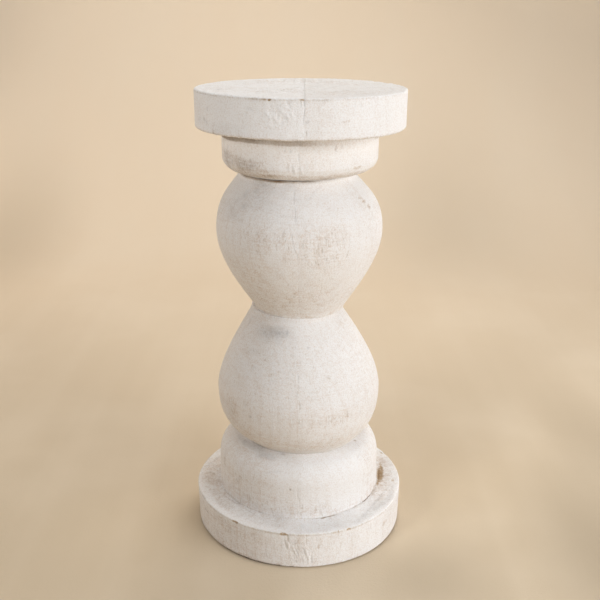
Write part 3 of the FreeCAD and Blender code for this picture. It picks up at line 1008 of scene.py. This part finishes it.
def worn(section, side, grid):
    """Cut wear into the smooth half and say how each coat of its finish has worn.

    Everything is a depth in millimetres below the turned surface: slow lumps left by hand
    sanding, fine rings left by the tool, pores that run up the grain, a groove at the seam,
    and this section's own marks, rings and bands.  Some of those marks, rings and bands put
    painted shade and painted light into the coats.
    """
    shape = grid.points.shape
    turned = np.array([side, side, 1.0])
    points = grid.points.reshape(-1, 3) * turned
    normals = grid.normals.reshape(-1, 3) * turned
    on_arc = np.tile(grid.on_arc, shape[0])
    side_row = np.zeros(shape[0], bool)
    side_row[grid.side_rows] = True
    side_row = np.repeat(side_row, shape[1])
    seed = FIRST_SEED + SECTION_SEEDS * list(SECTIONS).index(section.name)

    depth = sum(amount * rough_noise(points, size, seed + place, 2)
                for amount, size, place in SANDING)
    radius = np.hypot(points[:, 0], points[:, 1])
    profile = np.c_[points[:, 2], radius, np.zeros(len(points))]
    depth += TOOL_DEPTH * noise(profile, TOOL_SIZE, seed + 2)
    pores = noise(points, PORE_SIZE, seed + 3)
    patches = noise(points, PORE_PATCH, seed + 4)
    pores = smoothstep(0.5, 0.8, pores) * smoothstep(0.0, 0.6, patches)
    depth += PORE_DEPTH * pores
    coats = {coat: share * pores for coat, share in zip(COATS, PORE_COATS)}

    seam = np.exp(-(points[:, 0] / SEAM_WIDTH) ** 2)
    up_seam = rough_noise(points * [0.0, 0.0, 1.0], (1.0, 1.0, OPEN_LENGTH), seed + 5, 3)
    open_seam = smoothstep(0.15, 0.6, up_seam)
    depth += seam * (SEAM_DEPTH + OPEN_DEPTH * open_seam)
    coats["bare"] += OPEN_BARE * seam * open_seam

    lumps = rough_noise(points, ROUGH_SIZE, seed + 7, 2)
    placed = settle(section, grid, points)
    kinds = zip(all_round(section), (mark_mask, ring_mask, band_mask),
                (MARK_SEED, RING_SEED, BAND_SEED), (placed, points, points))
    for rows, mask_of, first_seed, places in kinds:
        for index, row in enumerate(rows):
            mask = mask_of(places, normals, row, seed + first_seed + index)
            depth += (row.wear.depth + row.wear.rough * lumps) * mask
            for coat in COATS:
                coats[coat] += getattr(row.wear, coat) * mask

    moves = on_arc | ~side_row
    points = (points - normals * (depth * moves)[:, None]).reshape(shape)
    coats = {coat: values.reshape(shape[:2]) for coat, values in coats.items()}

    # The flat side follows the two ends of its own row's arc.
    arc = np.count_nonzero(grid.on_arc)
    ends = points[:, arc - 1], points[:, 0]
    share = (1 - across_seam(section.flat_points)) / 2
    rows = grid.side_rows
    points[rows, arc:] = (ends[0][rows, None] * (1 - share)[None, :, None]
                          + ends[1][rows, None] * share[None, :, None])
    return points, coats


def settle(section, grid, points):
    """Put a worn half in its place: bend the seam, squash it to its oval, lean and shift it."""
    foot = points[..., 2].min()
    head = points[..., 2].max()
    share = (points[..., 2] - foot) / (head - foot)
    seam = section.seam[0] + (section.seam[1] - section.seam[0]) * share
    x = points[..., 0] + seam * (1 - np.clip(points[..., 0] / grid.radius, -1, 1) ** 2)
    x = x * section.oval[0] + section.offset[0] + section.tilt[0] * share
    y = points[..., 1] * section.oval[1] + section.offset[1] + section.tilt[1] * share
    return np.stack([x, y, points[..., 2]], axis=-1)


def add_object(name, data):
    """Put a mesh, a light or a camera in the scene."""
    thing = bpy.data.objects.new(name, data)
    bpy.context.scene.collection.objects.link(thing)
    return thing


def grid_mesh(name, points, foot_pole, head_pole, attributes):
    """A closed mesh from rows of loops and a pole at each end, with its point attributes."""
    rows, columns = points.shape[:2]
    index = np.arange(rows * columns).reshape(rows, columns)
    ahead = np.roll(index, -1, axis=1)
    quads = np.stack([index[:-1], ahead[:-1], ahead[1:], index[1:]], axis=-1).reshape(-1, 4)
    foot = rows * columns
    head = foot + 1
    first = np.stack([np.full(columns, foot), ahead[0], index[0]], axis=-1)
    last = np.stack([index[-1], ahead[-1], np.full(columns, head)], axis=-1)
    corners = np.concatenate([quads.ravel(), first.ravel(), last.ravel()])
    totals = np.r_[np.full(len(quads), 4), np.full(2 * columns, 3)]
    places = np.vstack([points.reshape(-1, 3), foot_pole, head_pole]) * MM

    mesh = bpy.data.meshes.new(name)
    mesh.vertices.add(len(places))
    mesh.vertices.foreach_set("co", places.ravel().astype(np.float32))
    mesh.loops.add(len(corners))
    mesh.loops.foreach_set("vertex_index", corners.astype(np.int32))
    mesh.polygons.add(len(totals))
    starts = np.r_[0, np.cumsum(totals)[:-1]]
    mesh.polygons.foreach_set("loop_start", starts.astype(np.int32))
    mesh.polygons.foreach_set("use_smooth", np.ones(len(totals), bool))
    mesh.update(calc_edges=True)
    for key, values in attributes.items():
        layer = mesh.attributes.new(key, "FLOAT", "POINT")
        padded = np.r_[values.ravel(), 0.0, 0.0].astype(np.float32)
        layer.data.foreach_set("value", np.clip(padded, -1, 1))
    return add_object(name, mesh)


def make_half(section, side_name, material):
    """Build one worn half of a section and let it stand for its CAD node."""
    node = f"{section.name}_{side_name}"
    grid = half_grid(section, f"{section.name}_right")
    points, coats = worn(section, SIDES[side_name], grid)
    points = settle(section, grid, points)
    piece = grid_mesh(
        f"{node}_turned", points, points[0].mean(axis=0), points[-1].mean(axis=0), coats)
    piece.data.materials.append(material)
    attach(piece, BODY)
    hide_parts(node)
    return piece


# ---------------------------------------------------------------- shader arithmetic

class Wire:
    """A socket that takes part in Python arithmetic: each operator adds a Math node."""

    def __init__(self, shader, socket):
        self.shader = shader
        self.socket = socket

    def math(self, operation, first, second=0.0):
        return self.shader.add("ShaderNodeMath", {"operation": operation},
                               {0: first, 1: second})

    def __add__(self, other):
        return self.math("ADD", self, other)

    __radd__ = __add__

    def __sub__(self, other):
        return self.math("SUBTRACT", self, other)

    def __rsub__(self, other):
        return self.math("SUBTRACT", other, self)

    def __mul__(self, other):
        return self.math("MULTIPLY", self, other)

    __rmul__ = __mul__

    def __truediv__(self, other):
        return self.math("DIVIDE", self, other)

    def __rtruediv__(self, other):
        return self.math("DIVIDE", other, self)

    def fraction(self):
        """What is left after the whole part is taken off."""
        return self.math("FRACT", self)

    def clipped(self):
        """The value held between 0 and 1."""
        return self.shader.add("ShaderNodeClamp", {}, {"Value": self})

    def ramp(self, low, high):
        """A smooth step from 0 to 1 as this value goes from low to high."""
        return self.shader.add("ShaderNodeMapRange", {"interpolation_type": "SMOOTHSTEP"},
                               {"Value": self, "From Min": low, "From Max": high})


class Shader:
    """One material, built by adding nodes and wiring them."""

    def __init__(self, name):
        self.material = bpy.data.materials.new(name)
        self.material.use_nodes = True
        self.tree = self.material.node_tree
        self.tree.nodes.clear()

    def add(self, kind, settings, sockets, output=0):
        """Add a node, set its own settings, then give its sockets values or links."""
        node = self.tree.nodes.new(kind)
        for key, value in settings.items():
            setattr(node, key, value)
        for key, value in sockets.items():
            if isinstance(value, Wire):
                self.tree.links.new(value.socket, node.inputs[key])
            else:
                node.inputs[key].default_value = value
        return Wire(self, node.outputs[output]) if node.outputs else None

    def millimetres(self, shift=(0.0, 0.0, 0.0), scale=(1.0, 1.0, 1.0)):
        """Object coordinates in millimetres, shifted and then scaled."""
        place = self.add("ShaderNodeTexCoord", {}, {}, "Object")
        per_mm = [s / MM for s in scale]
        moved = [s * c for s, c in zip(shift, scale)]
        return self.add("ShaderNodeMapping", {}, {"Vector": place, "Location": moved,
                                                  "Scale": per_mm})

    def noise(self, vector, scale=1.0, detail=2.0, roughness=0.5):
        """Noise from 0 to 1, its lumps about 1 / scale of the vector's unit across."""
        return self.add("ShaderNodeTexNoise", {"noise_dimensions": "3D"},
                        {"Vector": vector, "Scale": scale, "Detail": detail,
                         "Roughness": roughness})

    def grain(self, scale, detail, roughness=0.5):
        """Noise drawn out of proportion: scale is its lumps per millimetre along X, Y and Z."""
        return self.noise(self.millimetres(scale=scale), detail=detail, roughness=roughness)

    def mix(self, factor, first, second):
        """Two colours mixed: first where factor is 0, second where it is 1."""
        return self.add("ShaderNodeMix", {"data_type": "RGBA", "clamp_factor": True},
                        {0: factor, 6: colour(first), 7: colour(second)}, 2)

    def attribute(self, name):
        """What the mesh says at this point under that name."""
        return self.add("ShaderNodeAttribute", {"attribute_name": name}, {}, "Fac")

    def finish(self, sockets, height=None):
        """Close the material with a Principled surface, bumped by height in millimetres."""
        if height is not None:
            bump = self.add("ShaderNodeBump", {}, {"Strength": 1.0, "Distance": MM,
                                                   "Height": height})
            sockets = dict(sockets, Normal=bump)
        surface = self.add("ShaderNodeBsdfPrincipled", {}, sockets)
        self.add("ShaderNodeOutputMaterial", {}, {"Surface": surface})
        return self.material


def colour(value):
    """A colour for a socket: a wire as it is, or three numbers with an alpha of 1."""
    return value if isinstance(value, Wire) else (*value[:3], 1.0)


# ---------------------------------------------------------------- finishes

def whitewash(name, pith, warmth, settings):
    """White wash over turned wood, for one board.

    The wood is a solid: rings round the pith, and pores and fibres drawn out along Z, so they
    are dashes on the sides and dots on the top.  The wash is a pale, mottled coat with brush
    strokes round the stand.  The four attributes say how it has worn, and some of them also
    carry painted shade and painted light.
    """
    shader = Shader(name)
    plain = shader.millimetres()
    grain = shader.millimetres(shift=(-pith[0], -pith[1], 0.0), scale=(1.0, 1.0, 0.03))
    bend = shader.grain((0.05, 0.05, 0.012), 3.0)
    away = shader.add("ShaderNodeVectorMath", {"operation": "LENGTH"}, {0: grain}, "Value")
    rings = ((away + bend * 14.0) / settings.ring_spacing).fraction()
    late = rings.ramp(0.5, 0.95) * rings.ramp(1.0, 0.96)

    fibre = shader.grain((1.4, 1.4, 0.09), 3.0, 0.6)
    pores = shader.grain((1.1, 1.1, 0.28), 1.0).ramp(0.6, 0.68)
    fine = shader.noise(plain, scale=1.35, detail=2.0, roughness=0.75)
    dots = shader.noise(plain, scale=0.95, detail=1.0).ramp(0.6, 0.7)
    speckle = shader.noise(plain, scale=0.75, detail=3.0, roughness=0.65)
    mottle = shader.noise(plain, scale=0.13, detail=5.0, roughness=0.6)
    cloud = shader.noise(plain, scale=0.035, detail=3.0, roughness=0.55)
    strokes = shader.grain((0.09, 0.09, 0.8), 4.0, 0.65)

    bare, thin, grime, stain = (shader.attribute(coat) for coat in COATS)
    # Where each kind of wear acts: what the mesh says, broken up by the grain.  The grime and
    # stain masks carry painted shadow as well as real grime and stain.
    broken = (speckle - 0.5) * 1.3 + (fibre - 0.5) * 0.8
    bare_mask = (bare + bare * broken * 1.5).ramp(0.0, 1.0).clipped()
    grime_and_shade_mask = (grime * (mottle * 1.4 + strokes * 1.8 + speckle * 1.2 - 1.2)).clipped()
    stain_and_shade_mask = (stain * (0.5 + speckle * 0.6 + mottle * 0.4)).clipped()

    wood = shader.mix(late, settings.wood_colour, settings.late_wood_colour)
    wood = shader.mix(fibre.ramp(0.65, 0.35), wood, settings.pore_colour)
    wash = shader.mix(cloud.ramp(0.35, 0.65) * 0.7, settings.wash_colour,
                      settings.wash_warm_colour)
    wash = shader.mix(warmth, settings.wash_cool_colour, wash)
    # How much the wood tints the wash: a little everywhere, more in worn patches, and more where
    # the thin coat is painted shade; a thin coat below 0 takes it away as painted light.
    patches = mottle.ramp(0.50, 0.60) * 0.05 + strokes.ramp(0.50, 0.62) * 0.05
    grit = (speckle - 0.5) * 0.35 + (fine - 0.5) * 1.8 + (fibre - 0.5) * 0.12 + late * 0.07
    worn_through = (0.06 + late * 0.14 + fibre.ramp(0.42, 0.75) * 0.18
                    + speckle.ramp(0.5, 0.7) * 0.26 + strokes.ramp(0.46, 0.62) * 0.24)
    show = 0.06 + patches + grit + thin * worn_through
    coat = shader.mix(show.clipped(), wash, settings.thin_wash_colour)
    coat = shader.mix(dots * (0.12 + thin * 0.1), coat, settings.wood_colour)
    coat = shader.mix(pores * (0.05 + thin * 0.25), coat, settings.pore_colour)
    # Grey, then brown, over the coat: partly real grime and stain, partly painted shadow.
    coat = shader.mix(grime_and_shade_mask, coat, settings.grime_colour)
    coat = shader.mix(stain_and_shade_mask, coat, settings.stain_colour)
    colours = shader.mix(bare_mask, coat, wood)
    colours = shader.mix(stain_and_shade_mask * bare_mask * 0.7, colours, settings.stain_colour)

    height = (speckle * 0.26 + fine * 0.13 + fibre * (0.07 + thin * 0.06) + strokes * 0.1
              - pores * (0.04 + thin * 0.08) - late * 0.02 - bare_mask * 0.06)
    roughness = 0.78 + speckle * 0.14 - bare_mask * 0.1
    return shader.finish({"Base Color": colours, "Roughness": roughness,
                          "Specular IOR Level": 0.25}, height)


def raw_wood(name, settings):
    """Unfinished dowel stock: straight grain along Z with small dark pores."""
    shader = Shader(name)
    fibre = shader.grain((2.4, 2.4, 0.1), 4.0, 0.6)
    flecks = shader.grain((4.0, 4.0, 0.5), 1.0).ramp(0.6, 0.72)
    colours = shader.mix(fibre.ramp(0.3, 0.7), settings.late_wood_colour, settings.dowel_colour)
    colours = shader.mix(flecks * 0.6, colours, settings.pore_colour)
    return shader.finish({"Base Color": colours, "Roughness": 0.72 + fibre * 0.15},
                         fibre * 0.06 - flecks * 0.05)


def pressed_felt(name, settings):
    """Dark pressed felt: short matted fibres in every direction."""
    shader = Shader(name)
    plain = shader.millimetres()
    fibres = shader.noise(plain, scale=2.6, detail=5.0, roughness=0.75)
    tufts = shader.noise(plain, scale=0.5, detail=2.0)
    colours = shader.mix(fibres.ramp(0.3, 0.75), settings.felt_colour, settings.felt_fibre_colour)
    colours = shader.mix(tufts * 0.3, colours, settings.felt_colour)
    return shader.finish({"Base Color": colours, "Roughness": 0.95,
                          "Specular IOR Level": 0.1}, fibres * 0.25)


def backdrop_cloth(name, stage):
    """The plain pale backdrop: matt, paler towards its far end, with very faint streaks."""
    shader = Shader(name)
    place = shader.add("ShaderNodeTexCoord", {}, {}, "Object")
    apart = shader.add("ShaderNodeSeparateXYZ", {}, {"Vector": place}, "Y")
    cloud = shader.grain((0.006, 0.006, 0.002), 3.0)
    streaks = shader.grain((0.02, 0.001, 0.001), 3.0)
    weave = shader.noise(shader.millimetres(), scale=0.6, detail=3.0, roughness=0.7)
    # Darker near the front and paler towards the far end: painted falloff of the light.
    distance = apart.ramp(-0.45, 0.9)
    colours = shader.mix(distance, stage.near_colour, stage.far_colour)
    colours = shader.mix(cloud.ramp(0.4, 0.7) * 0.35 + streaks.ramp(0.4, 0.7) * 0.15, colours,
                         stage.cloud_colour)
    # The SHADES patches: painted shade.
    for x, y, half_x, half_y, amount in SHADES:
        moved = shader.add("ShaderNodeMapping", {}, {
            "Vector": place, "Location": (-x / half_x, -y / half_y, 0.0),
            "Scale": (1 / half_x, 1 / half_y, 0.0)})
        away = shader.add("ShaderNodeVectorMath", {"operation": "LENGTH"}, {0: moved}, "Value")
        colours = shader.mix(away.ramp(1.0, 0.0) * amount, colours, stage.shade_colour)
    return shader.finish({"Base Color": colours, "Roughness": 0.9,
                          "Specular IOR Level": 0.1}, weave * 0.22)


def room_wall_glow(name, stage):
    """The evenly glowing paint of the far wall: painted light, though it is no lamp."""
    shader = Shader(name)
    return shader.finish({"Base Color": (0.0, 0.0, 0.0, 1.0), "Roughness": 1.0,
                          "Specular IOR Level": 0.0,
                          "Emission Color": (*stage.wall_colour, 1.0),
                          "Emission Strength": stage.brightness})


# ---------------------------------------------------------------- settings

def colour_property(label, description, default):
    """A colour that the sidebar shows."""
    return bpy.props.FloatVectorProperty(name=label, description=description, subtype="COLOR",
                                         size=3, min=0.0, max=1.0, default=default)


class FinishSettings(bpy.types.PropertyGroup):
    """Colours and grain of the stand."""

    wash_colour: colour_property("Wash", "The white wash where it is thickest",
                                 (0.835, 0.815, 0.79))
    wash_warm_colour: colour_property("Warm wash", "The wash where it yellowed",
                                      (0.82, 0.795, 0.76))
    wash_cool_colour: colour_property("Cool wash", "The wash on the whiter boards",
                                      (0.93, 0.92, 0.905))
    # The thin wash colour also paints shade on shaded sides and undersides.
    thin_wash_colour: colour_property("Thin wash", "The wash where the wood shows through",
                                      (0.66, 0.54, 0.44))
    wood_colour: colour_property("Wood", "Bare wood between the rings", (0.54, 0.385, 0.235))
    late_wood_colour: colour_property("Late wood", "Bare wood at a growth ring",
                                      (0.40, 0.285, 0.175))
    pore_colour: colour_property("Pores", "The bottom of a pore", (0.36, 0.255, 0.155))
    # The grime colour also paints the lower bulb's shadow on the drum.
    grime_colour: colour_property("Grime", "Grey rubbed into the wash", (0.30, 0.29, 0.285))
    # The stain colour also paints shadow under the plate and along the foot.
    stain_colour: colour_property("Stain", "Brown settled in corners", (0.215, 0.13, 0.06))
    dowel_colour: colour_property("Dowel", "Unfinished dowel stock", (0.52, 0.36, 0.21))
    felt_colour: colour_property("Felt", "The felt's ground", (0.045, 0.038, 0.032))
    felt_fibre_colour: colour_property("Felt fibres", "The felt's lighter fibres",
                                       (0.11, 0.095, 0.08))
    ring_spacing: bpy.props.FloatProperty(
        name="Ring spacing", description="From one growth ring to the next, in millimetres",
        default=5.5, min=1.0, max=20.0)


class StageSettings(bpy.types.PropertyGroup):
    """The floor, the lights and the camera."""

    # The near floor's colour is darker than the far wall's: painted falloff of the light.
    near_colour: colour_property("Near floor", "The floor at the front", (0.585, 0.475, 0.33))
    far_colour: colour_property("Far wall", "The backdrop behind the stand", (0.82, 0.68, 0.51))
    cloud_colour: colour_property("Clouds", "The backdrop's paler clouds", (0.82, 0.70, 0.54))
    # The shade colour is painted shade on the backdrop.
    shade_colour: colour_property("Shade", "The floor's darker right side", (0.49, 0.40, 0.285))
    wall_colour: colour_property("Room wall", "The wall seen past the backdrop",
                                 (0.42, 0.355, 0.265))
    camera_distance: bpy.props.FloatProperty(
        name="Camera distance", description="Level distance from the stand's axis",
        default=0.5187, min=0.1, max=5.0, unit="LENGTH")
    camera_height: bpy.props.FloatProperty(
        name="Camera height", description="Height above the floor", default=0.3479, min=0.0,
        max=5.0, unit="LENGTH")
    camera_pitch: bpy.props.FloatProperty(
        name="Camera pitch", description="How far the camera looks down",
        default=math.radians(19.8), subtype="ANGLE")
    camera_roll: bpy.props.FloatProperty(
        name="Camera roll", description="How far the camera turns about its own line of sight",
        default=math.radians(0.28), subtype="ANGLE")
    lens: bpy.props.FloatProperty(name="Lens", description="Focal length in millimetres on a "
                                  "36 mm sensor", default=49.32, min=10.0, max=300.0)
    brightness: bpy.props.FloatProperty(name="Brightness", description="All the lights at once",
                                        default=1.0, min=0.0)
    ambient: bpy.props.FloatProperty(name="Ambient", description="The light of the room",
                                     default=0.04, min=0.0)
    ambient_colour: colour_property("Ambient colour", "The tint of the room's light",
                                    (1.0, 0.90, 0.80))


# ---------------------------------------------------------------- operators

class SectionOperator:
    """What the six section operators share: a left and a right half, each its own board."""

    section_name = ""

    def execute(self, context):
        section = SECTIONS[self.section_name]
        finish = context.scene.stand_finish
        for side, pith, warmth in zip(SIDES, section.pith, section.warmth):
            material = whitewash(f"wash_{section.name}_{side}", pith, warmth, finish)
            make_half(section, side, material)
        return {"FINISHED"}


class STAND_OT_top_plate(SectionOperator, bpy.types.Operator):
    """Turn the flat plate that the candle stands on"""
    bl_idname = "stand.top_plate"
    bl_label = "Top plate"
    section_name = "top_plate"


class STAND_OT_collar(SectionOperator, bpy.types.Operator):
    """Turn the collar under the plate"""
    bl_idname = "stand.collar"
    bl_label = "Collar"
    section_name = "collar"


class STAND_OT_upper_bulb(SectionOperator, bpy.types.Operator):
    """Turn the upper bulb"""
    bl_idname = "stand.upper_bulb"
    bl_label = "Upper bulb"
    section_name = "upper_bulb"


class STAND_OT_lower_bulb(SectionOperator, bpy.types.Operator):
    """Turn the lower bulb"""
    bl_idname = "stand.lower_bulb"
    bl_label = "Lower bulb"
    section_name = "lower_bulb"


class STAND_OT_drum(SectionOperator, bpy.types.Operator):
    """Turn the drum"""
    bl_idname = "stand.drum"
    bl_label = "Drum"
    section_name = "drum"


class STAND_OT_base_plate(SectionOperator, bpy.types.Operator):
    """Turn the base plate"""
    bl_idname = "stand.base_plate"
    bl_label = "Base plate"
    section_name = "base_plate"


class STAND_OT_hidden_pieces(bpy.types.Operator):
    """Give the dowels and the felt their finish"""
    bl_idname = "stand.hidden_pieces"
    bl_label = "Dowels and felt"

    def execute(self, context):
        finish = context.scene.stand_finish
        wood = raw_wood("raw_dowel", finish)
        felt = pressed_felt("pressed_felt", finish)
        for name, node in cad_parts.items():
            if name.endswith("_dowel") or name == "felt_pad":
                node.data.materials.clear()
                node.data.materials.append(felt if name == "felt_pad" else wood)
        return {"FINISHED"}


class STAND_OT_stage(bpy.types.Operator):
    """Set up the floor, the backdrop, the lights and the camera"""
    bl_idname = "stand.stage"
    bl_label = "Stage"

    def execute(self, context):
        stage = context.scene.stand_stage
        self.backdrop(stage)
        self.room(stage)
        self.lights(context, stage)
        self.camera(context, stage)
        return {"FINISHED"}

    def backdrop(self, stage):
        """A floor that curves up into a wall: one profile carried sideways."""
        near, far, bend, top, half = -1.5, 0.5, 0.5, 2.4, 2.6
        bend_rows, columns = 24, 13
        turn = np.linspace(0, math.pi / 2, bend_rows)
        profile = np.vstack([
            [[near, 0.0]],
            np.c_[far + bend * np.sin(turn), bend * (1 - np.cos(turn))],
            [[far + bend, top]],
        ])
        across = np.linspace(-half, half, columns)
        y = np.repeat(profile[:, 0], len(across))
        z = np.repeat(profile[:, 1], len(across))
        x = np.tile(across, len(profile))
        index = np.arange(len(x)).reshape(len(profile), len(across))
        quads = np.stack([index[:-1, :-1], index[:-1, 1:], index[1:, 1:], index[1:, :-1]],
                         axis=-1).reshape(-1, 4)
        piece = self.stage_piece("backdrop", np.c_[x, y, z], quads,
                                 backdrop_cloth("backdrop_cloth", stage))
        piece.data.polygons.foreach_set("use_smooth", np.ones(len(quads), bool))

    def room(self, stage):
        """A plain round wall far out: a circle carried upwards.  It gives the room no light."""
        radius, foot, head, sides = 7.0, -4.0, 7.0, 64
        turn = np.linspace(0, 2 * math.pi, sides, endpoint=False)
        ring = radius * np.c_[np.cos(turn), np.sin(turn)]
        points = np.vstack([np.c_[ring, np.full(sides, foot)], np.c_[ring, np.full(sides, head)]])
        index = np.arange(sides)
        after = (index + 1) % sides
        quads = np.stack([index, index + sides, after + sides, after], axis=-1)
        piece = self.stage_piece("room_wall", points, quads, room_wall_glow("room_wall_glow", stage))
        piece.visible_diffuse = piece.visible_glossy = piece.visible_shadow = False

    def stage_piece(self, name, points, quads, material):
        """A piece of the stage from its points, in metres, and its four-sided faces."""
        mesh = bpy.data.meshes.new(name)
        mesh.from_pydata(points.tolist(), [], quads.tolist())
        mesh.materials.append(material)
        piece = add_object(name, mesh)
        return piece

    def area_light(self, name, azimuth, elevation, distance, size, power, tint, aim):
        """A square light that faces the place it lights and that no camera sees."""
        data = bpy.data.lights.new(name, "AREA")
        data.shape = "SQUARE"
        data.size = size
        data.energy = power
        data.color = tint
        light = add_object(name, data)
        round_ = Matrix.Rotation(math.radians(azimuth), 4, "Z")
        raised = Matrix.Rotation(math.radians(90 - elevation), 4, "X")
        light.matrix_world = (Matrix.Translation(aim) @ round_ @ raised
                              @ Matrix.Translation((0.0, 0.0, distance)))
        light.visible_camera = False

    def lights(self, context, stage):
        """The soft lights and the room's own faint light."""
        for name, azimuth, elevation, distance, size, power, tint, aim in LIGHTS:
            self.area_light(name, azimuth, elevation, distance, size,
                            power * stage.brightness, tint, aim)
        world = bpy.data.worlds.new("room")
        world.use_nodes = True
        background = world.node_tree.nodes["Background"]
        background.inputs["Color"].default_value = (*stage.ambient_colour, 1.0)
        background.inputs["Strength"].default_value = stage.ambient * stage.brightness
        context.scene.world = world
        context.scene.view_settings.view_transform = "Standard"

    def camera(self, context, stage):
        """A camera in front of the stand, looking a little down."""
        data = bpy.data.cameras.new("camera")
        data.lens = stage.lens
        data.sensor_width = SENSOR_WIDTH
        data.clip_start = 0.01
        camera = add_object("camera", data)
        turn = (Matrix.Rotation(math.pi / 2 - stage.camera_pitch, 4, "X")
                @ Matrix.Rotation(stage.camera_roll, 4, "Z"))
        place = Matrix.Translation((CAMERA_ASIDE, -stage.camera_distance, stage.camera_height))
        camera.matrix_world = place @ turn
        context.scene.camera = camera


OPERATORS = (STAND_OT_stage, STAND_OT_top_plate, STAND_OT_collar, STAND_OT_upper_bulb,
             STAND_OT_lower_bulb, STAND_OT_drum, STAND_OT_base_plate, STAND_OT_hidden_pieces)


class STAND_PT_panel(bpy.types.Panel):
    """The stand's pieces and settings, in the sidebar"""
    bl_idname = "STAND_PT_panel"
    bl_label = "Pillar stand"
    bl_space_type = "VIEW_3D"
    bl_region_type = "UI"
    bl_category = "Pillar stand"

    def draw(self, context):
        """A button for each operator, then the settings."""
        layout = self.layout
        for operator in OPERATORS:
            layout.operator(operator.bl_idname)
        for settings in (context.scene.stand_finish, context.scene.stand_stage):
            box = layout.box()
            for key in settings.__annotations__:
                box.prop(settings, key)


CLASSES = (FinishSettings, StageSettings, *OPERATORS, STAND_PT_panel)


def register():
    """Make the classes known and hang the settings on the scene."""
    for cls in CLASSES:
        bpy.utils.register_class(cls)
    bpy.types.Scene.stand_finish = bpy.props.PointerProperty(type=FinishSettings)
    bpy.types.Scene.stand_stage = bpy.props.PointerProperty(type=StageSettings)


def unregister():
    """Undo register."""
    del bpy.types.Scene.stand_stage
    del bpy.types.Scene.stand_finish
    for cls in reversed(CLASSES):
        bpy.utils.unregister_class(cls)


def main():
    """Register the classes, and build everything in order."""
    register()
    for operator in OPERATORS:
        group, name = operator.bl_idname.split(".")
        getattr(getattr(bpy.ops, group), name)()


if __name__ == "__main__":
    main()
